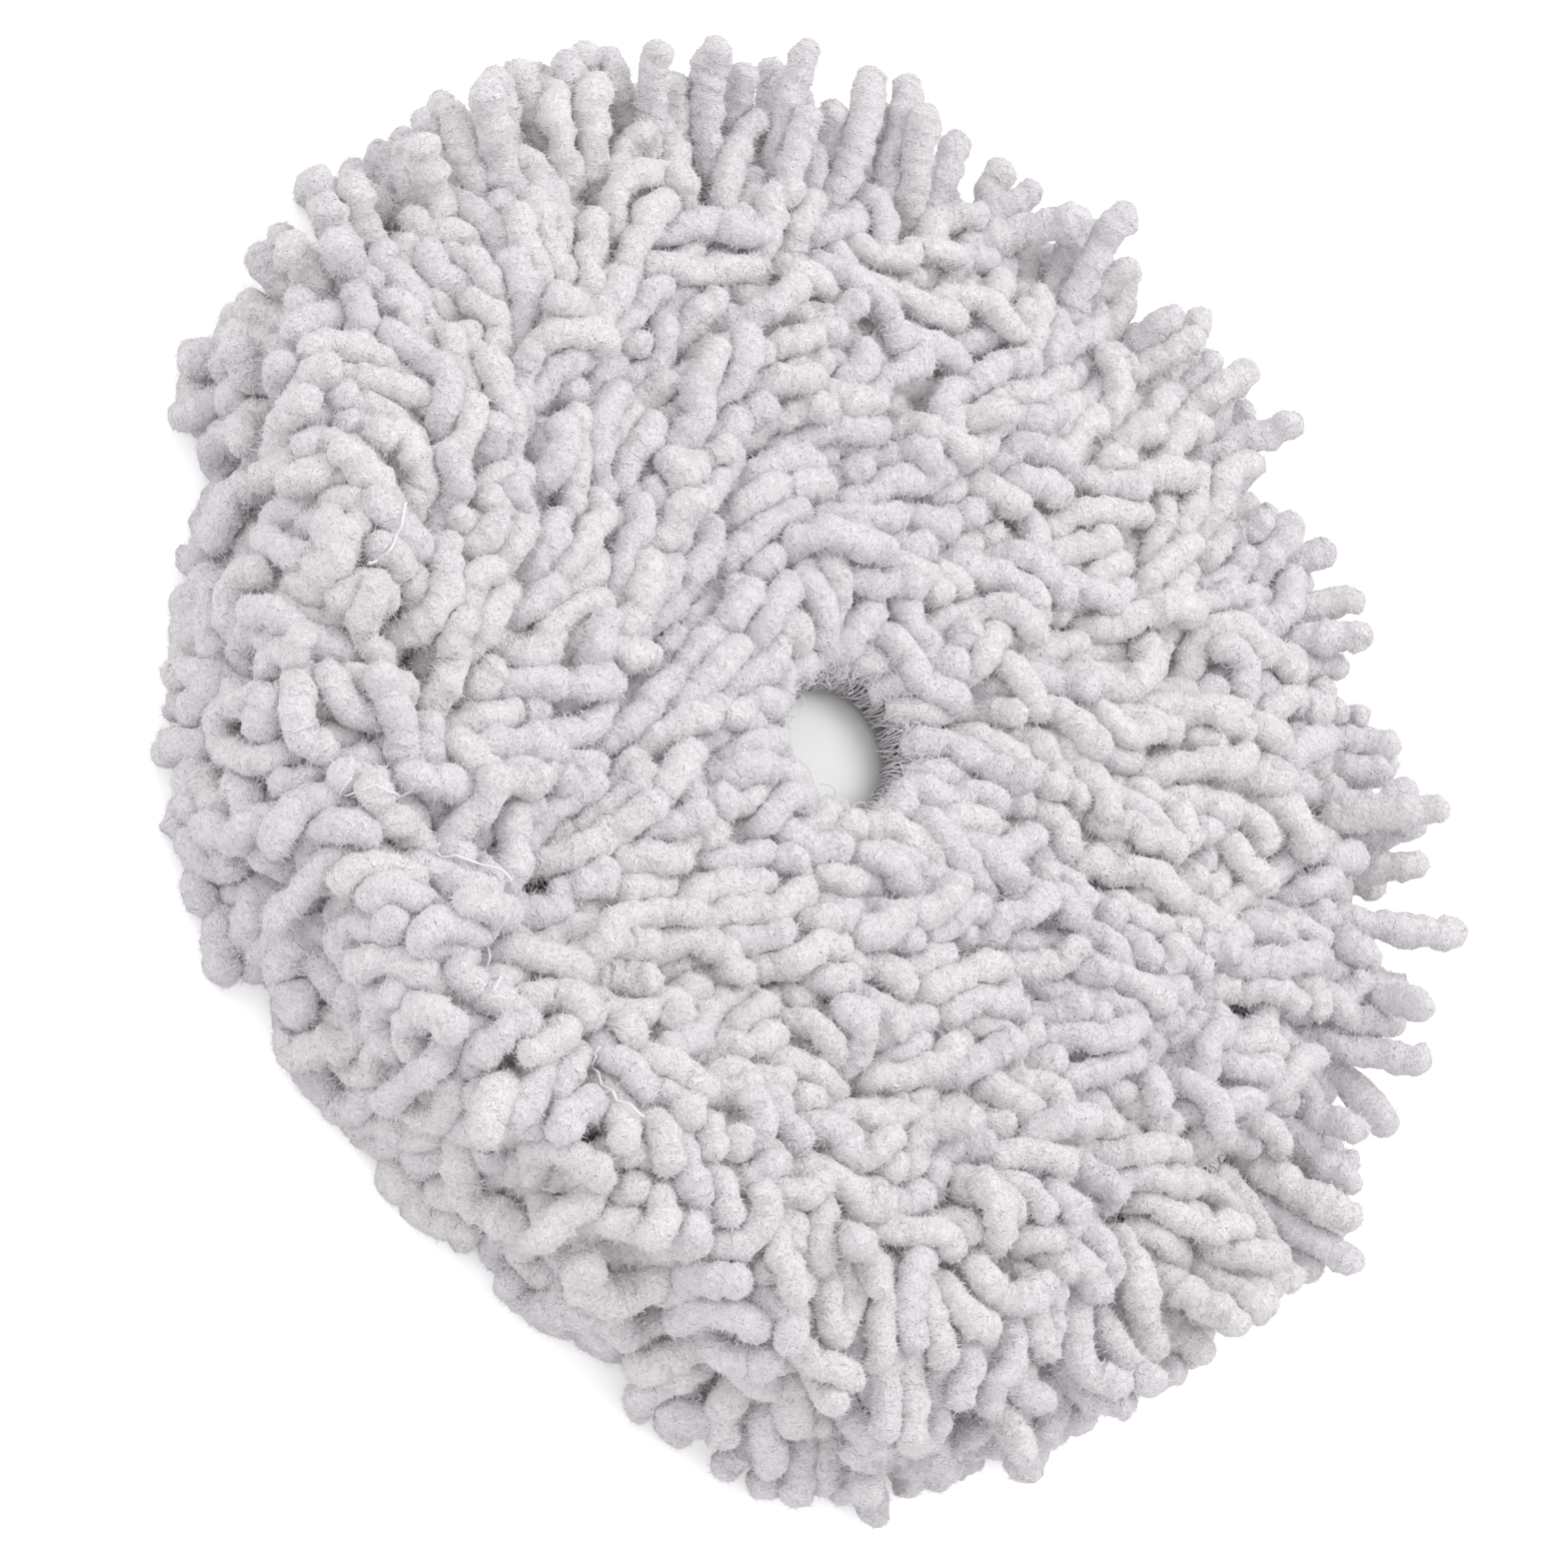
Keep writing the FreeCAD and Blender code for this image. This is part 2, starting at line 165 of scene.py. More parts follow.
plated, shader = new_material("steel_zinc_plated")
place = add_node(plated, "TexCoord").outputs["Object"]
spangle = add_node(plated, "TexNoise", {"Vector": place, "Scale": per_mm(2.5), "Detail": 3.0})
passivate = add_node(plated, "ValToRGB", {"Fac": spangle.outputs["Fac"]})
passivate.color_ramp.elements[0].color = colour("#A9ADB3")
passivate.color_ramp.elements[1].color = colour("#C6C9CE")
turned = add_node(plated, "TexNoise", {"Vector": place, "Scale": per_mm(0.3), "Detail": 2.0})
marks = add_node(plated, "Bump", {"Height": turned.outputs["Fac"], "Strength": 0.15, "Distance": 0.03 * MM})
join(plated, passivate.outputs["Color"], shader, "Base Color")
join(plated, marks.outputs["Normal"], shader, "Normal")
shader.inputs["Metallic"].default_value = 1.0
shader.inputs["Roughness"].default_value = 0.34
insert = ring_piece("threaded_insert", insert_section, 96, plated)
insert.data.shade_flat()
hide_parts("spindle_insert")


# Cushion: a die-cut ring of open-cell polyurethane foam, glued to the plate. Its cut edge is open
# cells, and it stands a little proud between its rounded edges.
FOAM_INNER = 15.1
FOAM_GAP = 0.1
FOAM_CROWN = 0.85


def cushion_section(turn):
    """The same flat, crowned section at every angle, a little inside its CAD solid."""
    low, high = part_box("foam_cushion")
    top, bottom = high[2] / MM, low[2] / MM + 0.05
    middle = (top + bottom) / 2
    outer = high[0] / MM - FOAM_GAP
    share = np.linspace(0, 1, 15)
    crown = top - 0.9 + FOAM_CROWN * np.clip(np.sin(math.pi * share), 0, 0.35) / 0.35
    over = np.column_stack([outer - 0.6 - (outer - FOAM_INNER - 1.2) * share, crown])
    under = [[FOAM_INNER + 0.1, middle], [FOAM_INNER + 0.4, bottom], [outer - 0.4, bottom], [outer, middle]]
    section = np.vstack([over, under])
    return section[:, 0], section[:, 1]


foam, shader = new_material("polyurethane_foam_cut")
place = add_node(foam, "TexCoord").outputs["Object"]
cells = add_node(foam, "TexVoronoi", {"Vector": place, "Scale": per_mm(0.7)})
depth = add_node(foam, "MapRange", {"Value": cells.outputs["Distance"], "From Max": 0.5}).outputs["Result"]
# painted shade: the colour darkens towards each cell's middle, down in the open pores
tint = add_node(foam, "MixRGB", {"Fac": depth, "Color1": colour("#8F8E90"), "Color2": colour("#D6D5D6")})
pores = add_node(foam, "Bump", {"Height": depth, "Strength": 0.8, "Distance": 0.25 * MM})
join(foam, tint.outputs["Color"], shader, "Base Color")
join(foam, pores.outputs["Normal"], shader, "Normal")
shader.inputs["Roughness"].default_value = 0.95
shader.inputs["Specular IOR Level"].default_value = 0.2
cushion = ring_piece("foam_ring", cushion_section, 128, foam)
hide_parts("foam_cushion")


# Face ground: a disc of warp-knit polyester mesh, its edge turned down into the middle hole. Dull
# white yarn with small staggered holes between its wales.
WALE = 1.25
COURSE = 1.7
WALES_ROUND = 446.0  # as many wales of that width as the band holds
CLOTH = 0.5  # thickness
FACE_RADIUS = 89.0
FACE_TOP = 26.5
HOLE_RADIUS = 9.1
HOLE_PULL = 3.0
HOLE_PULL_TURN = 0.26


def knit(name, around):
    """Warp-knit mesh with staggered holes, over the flat face or, where around is true, the band."""
    material, shader = new_material(name)
    place = add_node(material, "TexCoord").outputs["Object"]
    parts = add_node(material, "SeparateXYZ", {"Vector": place})
    turn = add_node(material, "Math", {0: parts.outputs["Y"], 1: parts.outputs["X"]}, operation="ARCTAN2")
    pull = add_node(material, "TexNoise", {"Vector": place, "Scale": per_mm(2.6), "Detail": 1.0})
    swing = {"Value": pull.outputs["Fac"], "To Min": -4.0, "To Max": 4.0}
    skew = add_node(material, "MapRange", swing).outputs["Result"]
    if around:
        wale, wale_pace, course = turn.outputs[0], WALES_ROUND, parts.outputs["Z"]
    else:
        wale, wale_pace, course = parts.outputs["X"], 2 * math.pi * per_mm(WALE), parts.outputs["Y"]
    waves = []
    for along, pace in ((wale, wale_pace), (course, 2 * math.pi * per_mm(COURSE))):
        phase = add_node(material, "Math", {0: along, 1: pace, 2: skew}, operation="MULTIPLY_ADD")
        waves.append(add_node(material, "Math", {0: phase.outputs[0]}, operation="COSINE").outputs[0])
    net = add_node(material, "Math", {0: waves[0], 1: waves[1]}, operation="MULTIPLY")
    limits = {"Value": net.outputs[0], "From Min": 0.05, "From Max": 0.4}
    hole = add_node(material, "MapRange", limits, interpolation_type="SMOOTHSTEP").outputs["Result"]
    # painted shade: the holes between the wales are coloured dark grey, for the foam below seen through them
    # in shade
    yarn, gap = colour("#DDD9DD"), colour("#857C80")
    tint = add_node(material, "MixRGB", {"Fac": hole, "Color1": yarn, "Color2": gap})
    sunk = add_node(material, "Bump", {"Height": hole, "Strength": 1.0, "Distance": 0.3 * MM}, invert=True)
    join(material, tint.outputs["Color"], shader, "Base Color")
    join(material, sunk.outputs["Normal"], shader, "Normal")
    shader.inputs["Roughness"].default_value = 0.9
    shader.inputs["Specular IOR Level"].default_value = 0.2
    return material


def hole_radius(turn):
    """The hole's edge, pulled out of round on the side that the limp cloth has slipped towards."""
    return HOLE_RADIUS + HOLE_PULL * (0.5 + 0.5 * np.sin(turn - HOLE_PULL_TURN)) ** 2


def face_section(turn):
    """From the rim in over the cushion, and down a little at the hole."""
    wave = 0.12 * math.sin(9 * turn) * math.sin(4 * turn + 1)
    edge = hole_radius(turn)
    # flat to 2.4 mm from the edge, then two points that roll it over
    radius = np.concatenate([np.linspace(FACE_RADIUS, edge + 2.4, 26), [edge + 1.3, edge + 0.8]])
    height = FACE_TOP + wave * np.sin(np.clip((radius - 11) / (FACE_RADIUS - 11), 0, 1) * math.pi)
    height[-2:] -= [0.15, 0.75]
    height[0] -= 0.25
    under = np.column_stack([radius, height - CLOTH])[::-1]
    section = np.vstack([np.column_stack([radius, height]), under])
    return section[:, 0], section[:, 1]


face_cloth = ring_piece("face_cloth", face_section, 160, knit("knit_mesh_face", False))
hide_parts("face_ground")


# Band ground: a strip of the same mesh, sewn into a band and stretched round the plate's wall. It
# bulges a little between the rim seam and the elastic.
BAND_RADIUS = 88.7
BAND_FOOT = 3.5
BAND_HEIGHT = 22.4


def band_section(turn):
    """Up the outside, with the bulge and small waves round it, and down the inside."""
    height = np.linspace(BAND_FOOT, BAND_FOOT + BAND_HEIGHT, 14)
    bulge = 0.35 * np.sin((height - BAND_FOOT) / BAND_HEIGHT * math.pi) + 0.1 * math.sin(31 * turn)
    outside = np.column_stack([BAND_RADIUS + bulge, height])
    inside = np.column_stack([BAND_RADIUS - CLOTH + bulge, height])[::-1]
    section = np.vstack([outside, inside])
    return section[:, 0], section[:, 1]


band_cloth = ring_piece("band_cloth", band_section, 192, knit("knit_mesh_band", True))
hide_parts("skirt_ground")


# Hem: woven tape folded under the rim into a channel and gathered by the elastic in it, so it
# puckers all round. The tape is dull white polyester with a fine rib.
PLEATS = 84
TAPE = 0.45  # thickness
TAPE_RIBS = 890.0  # 0.6 mm from rib to rib round the hem
HEM_RADIUS = 84.9
HEM_HALF_WIDTH = 4.0
HEM_MIDDLE = 1.75
HEM_HALF_HEIGHT = 1.45


def hem_section(turn):
    """A flattened loop of tape whose inner side puckers."""
    pucker = 0.5 * math.sin(PLEATS * turn + 2.0 * math.sin(5 * turn)) * (0.7 + 0.3 * math.sin(11 * turn))
    lap = np.linspace(0, 2 * math.pi, 28, endpoint=False)
    across = np.sign(np.cos(lap)) * np.abs(np.cos(lap)) ** 0.55
    upwards = np.sign(np.sin(lap)) * np.abs(np.sin(lap)) ** 0.7
    radius = HEM_RADIUS + HEM_HALF_WIDTH * across
    height = HEM_MIDDLE + HEM_HALF_HEIGHT * upwards
    inward = np.clip((86.5 - radius) / 5, 0, 1)
    return radius + 0.5 * pucker * inward, np.maximum(height + 0.55 * pucker * inward, 0.05)


tape, shader = new_material("polyester_tape_woven")
place = add_node(tape, "TexCoord").outputs["Object"]
parts = add_node(tape, "SeparateXYZ", {"Vector": place})
turn = add_node(tape, "Math", {0: parts.outputs["Y"], 1: parts.outputs["X"]}, operation="ARCTAN2")
ribs = add_node(tape, "Math", {0: turn.outputs[0], 1: TAPE_RIBS}, operation="MULTIPLY")
rib = add_node(tape, "Math", {0: ribs.outputs[0]}, operation="SINE")
# painted shade: the tape's colour darkens down between the ribs, where the bump is lowest
tint = add_node(tape, "MapRange", {"Value": rib.outputs[0], "From Min": -1.0}).outputs["Result"]
tint = add_node(tape, "MixRGB", {"Fac": tint, "Color1": colour("#B9B5BA"), "Color2": colour("#DAD7DA")})
raised = add_node(tape, "Bump", {"Height": rib.outputs[0], "Strength": 0.6, "Distance": 0.1 * MM})
join(tape, tint.outputs["Color"], shader, "Base Color")
join(tape, raised.outputs["Normal"], shader, "Normal")
shader.inputs["Roughness"].default_value = 0.85
shader.inputs["Specular IOR Level"].default_value = 0.25
hem = ring_piece("gathered_hem", hem_section, PLEATS * 8, tape)
wall = hem.modifiers.new("tape", "SOLIDIFY")
wall.thickness = TAPE * MM
wall.offset = -1.0
bpy.context.view_layer.objects.active = hem
bpy.ops.object.modifier_apply(modifier=wall.name)
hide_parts("hem_channel")


# Elastic: a flat braided band, 5 mm wide, drawn through the hem. It lies in shallow waves where the
# tape grips it, and its rubber threads show as fine ridges.
def elastic_section(turn):
    """A flat band with softened edges, which rises and falls with the pleats."""
    wave = 0.12 * math.sin(PLEATS * turn)
    radius = np.array([87.2, 87.2, 86.0, 84.8, 83.6, 82.5, 82.5, 83.6, 84.8, 86.0])
    height = np.array([1.3, 2.1, 2.2, 2.2, 2.2, 2.1, 1.3, 1.2, 1.2, 1.2]) + wave
    return radius, height


braid, shader = new_material("elastic_braided")
place = add_node(braid, "TexCoord").outputs["Object"]
radius = add_node(braid, "VectorMath", {0: place}, operation="LENGTH").outputs["Value"]
ridges = add_node(braid, "Math", {0: radius, 1: 2 * math.pi * per_mm(0.8)}, operation="MULTIPLY")
ridge = add_node(braid, "Math", {0: ridges.outputs[0]}, operation="SINE")
# painted shade: the band's colour darkens down between the ridges, where the bump is lowest
tint = add_node(braid, "MapRange", {"Value": ridge.outputs[0], "From Min": -1.0}).outputs["Result"]
tint = add_node(braid, "MixRGB", {"Fac": tint, "Color1": colour("#C2C0C2"), "Color2": colour("#E4E3E3")})
raised = add_node(braid, "Bump", {"Height": ridge.outputs[0], "Strength": 0.7, "Distance": 0.15 * MM})
join(braid, tint.outputs["Color"], shader, "Base Color")
join(braid, raised.outputs["Normal"], shader, "Normal")
shader.inputs["Roughness"].default_value = 0.8
elastic = ring_piece("elastic_band_braided", elastic_section, PLEATS * 4, braid)
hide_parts("elastic_band")


# Chenille strands: how they lie. Each is a limp, thick cord tied to the ground at one end. The
# strands are laid by letting rows of beads sag under the comb's pull and push each other apart.
STRAND_RADIUS = 2.45
BEADS = 7
rng = np.random.default_rng(11)
ground_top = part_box("face_pile_1")[0][2] / MM
rim_radius = round(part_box("face_ground")[1][0] / MM, 1)

# the way the pile was last brushed: places on the face and the angle that strands there point to
BRUSHED = np.array([
    (-56, -31, 138), (-75, 22, 80), (-42, 22, 74), (-31, 69, 91), (0, 76, 91), (16, 33, 40),
    (50, 45, 62), (68, -2, 62), (20, -34, 57), (4, -52, 86), (-20, -60, 100), (50, -55, 60),
], dtype=float)
BRUSH_WIDTH = 16.0


def brushed_angle(x, y):
    """The angle brushed at each place, blended from the places near it."""
    far = (x[:, None] - BRUSHED[:, 0]) ** 2 + (y[:, None] - BRUSHED[:, 1]) ** 2
    near = np.exp(-far / (2 * BRUSH_WIDTH**2)) + 1e-6
    turn = np.radians(BRUSHED[:, 2])
    return np.arctan2((near * np.sin(turn)).sum(1), (near * np.cos(turn)).sum(1))


# Roots on the face: staggered rows, a ring round the hole and one along the rim, and two part rings
# that thicken the side where the pile hangs down. A ring is its radius and its number of strands.
ROW_PITCH = 7.6
ROWS_FROM, ROWS_TO = 17.5, 81
WHOLE_RINGS = ((14.2, 15), (84.6, 86))
PART_RINGS = ((72.5, 30), (79.0, 34))
rows = []
for j, y in enumerate(np.arange(-90, 90, ROW_PITCH * math.sqrt(3) / 2)):
    for x in np.arange(-90, 90, ROW_PITCH) + ROW_PITCH / 2 * (j % 2):
        rows.append((x, y))  # a square that holds the whole face, cut to a disc below
roots = np.array(rows) + rng.normal(0, 0.9, (len(rows), 2))
from_axis = np.hypot(roots[:, 0], roots[:, 1])
roots = roots[(from_axis > ROWS_FROM) & (from_axis < ROWS_TO)]
for radius, number in WHOLE_RINGS:
    ring = (np.arange(number) + rng.uniform(-0.25, 0.25, number)) * 2 * math.pi / number
    roots = np.vstack([roots, radius * np.column_stack([np.cos(ring), np.sin(ring)])])
for radius, number in PART_RINGS:
    ring = np.radians(np.linspace(-172, -12, number) + rng.uniform(-1, 1, number))
    roots = np.vstack([roots, radius * np.column_stack([np.cos(ring), np.sin(ring)])])
face_count = len(roots)
face_root = np.column_stack([roots, np.full(face_count, ground_top + 0.2)])

# the comb's pull on the face: as brushed, but outward beside the hole and over the rim that hangs
brush = brushed_angle(roots[:, 0], roots[:, 1]) + rng.normal(0, math.radians(21), face_count)
from_axis = np.hypot(roots[:, 0], roots[:, 1])
outward = roots / from_axis[:, None]
at_rim = np.clip((from_axis - 64) / 18, 0, 1)[:, None]
hanging = np.clip(1.6 * np.clip(0.4 - outward[:, 1:], 0, 1), 0, 1)
comb = np.column_stack([np.cos(brush), np.sin(brush)]) * (1 - 0.4 * at_rim) * (1 - 0.9 * at_rim * hanging)
comb += 0.4 * at_rim * hanging * outward
comb += 0.9 * np.clip((17 - from_axis) / 2, 0, 1)[:, None] * outward
face_pull = np.column_stack([comb, np.zeros(face_count)])
face_up = np.tile([0.0, 0.0, 1.0], (face_count, 1))

# how the side pile hangs: angle round the wheel, its reach from the axis, and its lift
HANG = np.array([
    (-180, 121, 0.35), (-168, 125, 0.30), (-150, 112, 0.25), (-134, 96, 0.05), (-120, 102, -0.35),
    (-107, 104, -0.60), (-95, 95, -0.70), (-84, 98, -0.75), (-72, 94, -0.75), (-59, 93, -0.65),
    (-44, 105, -0.20), (-28, 113, 0.0), (-9, 109, 0.10), (10, 112, 0.25), (30, 117, 0.40),
    (60, 117, 0.50), (73, 110, 0.50), (85, 109, 0.50), (96, 119, 0.65), (108, 129, 0.90),
    (121, 129, 0.80), (135, 120, 0.60), (152, 119, 0.50), (180, 121, 0.35),
])
# rows of strands on the band: height, the row's own lift, and its shift as a share of the spacing
BAND_ROWS = (
    (24.8, 0.40, 0.0), (20.4, 0.15, 0.5), (16.4, 0.0, 0.1), (10.4, -0.15, 0.6), (5.8, -0.25, 0.2),
)
AROUND = 78
SKIRT_WEIGHT = -0.028
skirt_root, skirt_up, skirt_pull, skirt_press, skirt_reach = [], [], [], [], []
for height, lift, shift in BAND_ROWS:
    for i in range(AROUND):
        turn = 2 * math.pi * (i + shift + rng.normal(0, 0.14)) / AROUND
        out = np.array([math.cos(turn), math.sin(turn), 0.0])
        side = np.array([-math.sin(turn), math.cos(turn), 0.0])
        degrees = (math.degrees(turn) + 180) % 360 - 180
        reach_here, lift_here = (np.interp(degrees, HANG[:, 0], HANG[:, k]) for k in (1, 2))
        skirt_root.append(out * (rim_radius + 0.3) + [0, 0, height + rng.normal(0, 0.5)])
        skirt_up.append(out)
        skirt_pull.append(out + side * rng.normal(0, 0.3) + [0, 0, lift + lift_here + rng.normal(0, 0.2)])
        skirt_press.append(SKIRT_WEIGHT + 0.05 * min(lift_here, 0.4))
        skirt_reach.append(reach_here + rng.normal(-0.5, 2.0))
root = np.vstack([face_root, skirt_root])
upright = np.vstack([face_up, skirt_up])
pull = np.vstack([face_pull, skirt_pull])
count = len(root)
is_face = np.arange(count) < face_count

# Each strand starts as a straight row of beads, its links longer where the side pile reaches far.
# It then feels the comb, its own weight and a bend of its own, all as millimetres a step.
SHORTEST_LINK, LONGEST_LINK = 3.2, 4.0
FACE_WEIGHT = -0.045
FACE_COMB, SKIRT_COMB = 0.045, 0.05
BOW, HOOK = 0.022, 0.018
UNBOUNDED = 130.0  # farther from the axis than a face strand can get
link = rng.uniform(SHORTEST_LINK, LONGEST_LINK, (count, 1))
farthest = np.full((count, 1), UNBOUNDED)
farthest[~is_face, 0] = skirt_reach
link[~is_face, 0] *= np.clip((farthest[~is_face, 0] - 91.5) / 21.6, 0.95, 1.18)
steps = np.arange(BEADS)
lean = upright * 0.8 + pull * 0.45 + rng.normal(0, 0.12, (count, 3))
lean /= np.linalg.norm(lean, axis=1, keepdims=True)
beads = root[:, None] + lean[:, None] * (link * steps)[..., None]
share = (steps / (BEADS - 1))[None, :, None]
weight = np.concatenate([np.full(face_count, FACE_WEIGHT), skirt_press])
weight = weight[:, None, None] * np.array([0, 0, 1.0])
stiff = rng.uniform(0.4, 1.3, (count, 1, 1))
combing = pull[:, None] * np.where(is_face, FACE_COMB, SKIRT_COMB)[:, None, None] * (0.4 + 0.6 * share)
curl = np.where(is_face, 0.75, 0.95)[:, None, None]
bow = rng.normal(0, BOW, (count, 1, 3)) * np.sin(math.pi * share)
bend = curl * (bow + rng.normal(0, HOOK, (count, 1, 3)) * share)
force = bend + combing * stiff + weight * rng.uniform(0.5, 1.5, (count, 1, 1))
strand_of = np.repeat(np.arange(count), BEADS)
bead_of = np.tile(steps, count)
free = (bead_of > 0).astype(float)


def near_pairs(points, distance):
    """Pairs of beads that near each other, without those next to each other on one strand."""
    tree = kdtree.KDTree(len(points))
    for i, point in enumerate(points):
        tree.insert(point, i)
    tree.balance()
    pairs = []
    for i, point in enumerate(points):
        pairs.extend((i, j) for _, j, _ in tree.find_range(point, distance) if j > i)
    pairs = np.array(pairs)
    same = strand_of[pairs[:, 0]] == strand_of[pairs[:, 1]]
    apart = np.abs(bead_of[pairs[:, 0]] - bead_of[pairs[:, 1]])
    return pairs[~same | (apart > 2)]


def keep_links(beads):
    """Keeps a strand's length from bead to bead, and keeps it from folding sharply."""
    for k in range(BEADS - 1):
        gap = beads[:, k + 1] - beads[:, k]
        far = np.linalg.norm(gap, axis=1, keepdims=True)
        move = gap * (far - link) / far
        if k == 0:
            beads[:, 1] -= move
        else:
            beads[:, k] += move / 2
            beads[:, k + 1] -= move / 2
    # so many beads on, the strand is at least so many links away
    for span, least in ((2, 1.87), (3, 2.65)):
        for k in range(BEADS - span):
            gap = beads[:, k + span] - beads[:, k]
            far = np.linalg.norm(gap, axis=1, keepdims=True)
            short = np.maximum(least * link - far, 0) * gap / far
            if k:
                beads[:, k] -= short / 2
            beads[:, k + span] += short / 2


def keep_apart(beads, pairs, distance):
    """Pushes each pair of beads nearly to that distance; the tied beads don't move."""
    flat = beads.reshape(-1, 3)
    i, j = pairs.T
    gap = flat[i] - flat[j]
    far = np.linalg.norm(gap, axis=1)
    close = far < distance
    i, j, gap, far = i[close], j[close], gap[close], far[close]
    sharing = free[i] + free[j]
    move = gap * ((distance - far) / np.maximum(far, 1e-6) / np.maximum(sharing, 1))[:, None] * 0.55
    for axis in range(3):
        flat[:, axis] += np.bincount(i, move[:, axis] * free[i], len(flat))
        flat[:, axis] -= np.bincount(j, move[:, axis] * free[j], len(flat))


PARTING = 3.2  # how far the strands' middles keep from the hole's edge
PARTING_HEIGHT = 3.5
PARTING_END = 24
WALL_FOOT = 14  # a bead inside the rim and above this height belongs on the face


def keep_outside(beads):
    """Keeps beads above the face and the floor, outside the band and the hole, and within reach."""
    loose = beads[:, 1:]
    radius = np.hypot(loose[..., 0], loose[..., 1])
    clear = STRAND_RADIUS * 0.85
    over = (radius < rim_radius) & (loose[..., 2] > WALL_FOOT)
    loose[..., 2] = np.where(over, np.maximum(loose[..., 2], ground_top + clear), loose[..., 2])
    side = (radius < rim_radius + clear) & (loose[..., 2] < ground_top - 0.5)
    grow = np.where(side, (rim_radius + clear) / radius, 1.0)
    turn = np.arctan2(loose[..., 1], loose[..., 0])
    # the pile parts round the hole and slopes down to it
    hole = hole_radius(turn) + PARTING - 0.9 * np.cos(turn + 0.3)
    grow = np.where(radius < hole, hole / np.maximum(radius, 0.5), grow)
    slope = ground_top + PARTING_HEIGHT + 1.0 * np.maximum(radius - hole, 0)
    loose[..., 2] = np.where(radius < PARTING_END, np.minimum(loose[..., 2], slope), loose[..., 2])
    tip_reach = farthest - STRAND_RADIUS
    grow = np.where(radius > tip_reach, tip_reach / radius, grow)
    loose[..., 0] *= grow
    loose[..., 1] *= grow
    loose[..., 2] = np.maximum(loose[..., 2], 1.35 * STRAND_RADIUS)


# the beads swell while they settle, so that crossed strands can slip past each other first
SETTLING_STEPS = 150
SWELLING_STEPS = 60
FIRST_WIDTH = 3.0
SWELL = 1.6
KEPT_SPEED = 0.86  # from step to step
TIE = 0.15  # how firmly the knitting holds the second bead straight out of the ground
was = beads.copy()
for step in range(SETTLING_STEPS):
    if step % 8 == 0:
        pairs = near_pairs(beads.reshape(-1, 3), 7.0)
    now = beads.copy()
    beads[:, 1:] += (beads - was)[:, 1:] * KEPT_SPEED + np.broadcast_to(force, beads.shape)[:, 1:]
    was = now
    beads[:, 1] += TIE * (root + upright * link - beads[:, 1])
    width = FIRST_WIDTH + SWELL * min(1, step / SWELLING_STEPS)
    for _ in range(3):
        keep_links(beads)
        keep_apart(beads, pairs, width)
        keep_outside(beads)


# Face and side pile: microfibre chenille, short fibres caught between twisted core threads, so each
# strand is a soft, lumpy cord with a rounded end. The nap scatters light and has no shine.
RINGS = 28
SIDES = 12
TUFTS = 1000
TWIST = 2.3  # the twist shows as a furrow every so many millimetres
FLOOR_GAP = 0.05


def tubes(centres, radii):
    """Points and faces of closed tubes round rows of centres, with a radius for each ring's side."""
    rows, rings, sides = radii.shape
    along = np.gradient(centres, axis=1)
    along /= np.linalg.norm(along, axis=2, keepdims=True)
    across = np.empty_like(along)
    start = np.where(np.abs(along[:, 0, 2:]) < 0.8, [[0.0, 0.0, 1.0]], [[1.0, 0.0, 0.0]])
    for k in range(rings):
        start = start - (start * along[:, k]).sum(1, keepdims=True) * along[:, k]
        start /= np.linalg.norm(start, axis=1, keepdims=True)
        across[:, k] = start
    up = np.cross(along, across)
    turn = np.arange(sides) * 2 * math.pi / sides
    skin = (
        centres[:, :, None]
        + (radii * np.cos(turn))[..., None] * across[:, :, None]
        + (radii * np.sin(turn))[..., None] * up[:, :, None]
    )
    # each end is closed by a pole that stands out a little
    first = centres[:, 0] - along[:, 0] * radii[:, 0].mean(1, keepdims=True) * 0.3
    last = centres[:, -1] + along[:, -1] * radii[:, -1].mean(1, keepdims=True) * 0.3
    points = np.concatenate([skin.reshape(rows, -1, 3), np.stack([first, last], axis=1)], axis=1)
    points[..., 2] = np.maximum(points[..., 2], FLOOR_GAP)
    ring = np.arange(sides)
    after = (ring + 1) % sides
    faces = []
    for k in range(rings - 1):
        low, high = k * sides, (k + 1) * sides
        faces += np.column_stack([low + ring, low + after, high + after, high + ring]).tolist()
    end = (rings - 1) * sides
    pole = np.full(sides, rings * sides)
    faces += np.column_stack([after, ring, pole]).tolist()
    faces += np.column_stack([end + ring, end + after, pole + 1]).tolist()
    return points, faces


def tufts(centres, points, number):
    """Loose tufts standing out of each tube's skin, each one slender triangle."""
    rows, rings, _ = centres.shape
    sides = (points.shape[1] - 2) // rings
    total = rows * number
    row = np.repeat(np.arange(rows), number)
    ring = rng.integers(1, rings, total)
    side = rng.integers(0, sides, total)
    corner = points[row, ring * sides + side]
    beside = points[row, ring * sides + (side + 1) % sides]
    behind = points[row, (ring - 1) * sides + side]
    u, v = rng.uniform(0, 1, (2, total, 1))
    foot = corner + (beside - corner) * u + (behind - corner) * v
    out = foot - (centres[row, ring] * (1 - v) + centres[row, ring - 1] * v)
    out /= np.linalg.norm(out, axis=1, keepdims=True)
    lean = out + 0.6 * rng.normal(0, 1, (total, 3))
    lean /= np.linalg.norm(lean, axis=1, keepdims=True)
    width = np.cross(lean, rng.normal(0, 1, (total, 3)))
    width *= rng.uniform(0.05, 0.12, (total, 1)) / np.linalg.norm(width, axis=1, keepdims=True)
    foot -= out * 0.15
    tip = foot + lean * rng.uniform(0.5, 1.35, (total, 1))
    blades = np.stack([foot - width, foot + width, tip], axis=1).reshape(-1, 3)
    blades[:, 2] = np.maximum(blades[:, 2], FLOOR_GAP)
    return blades


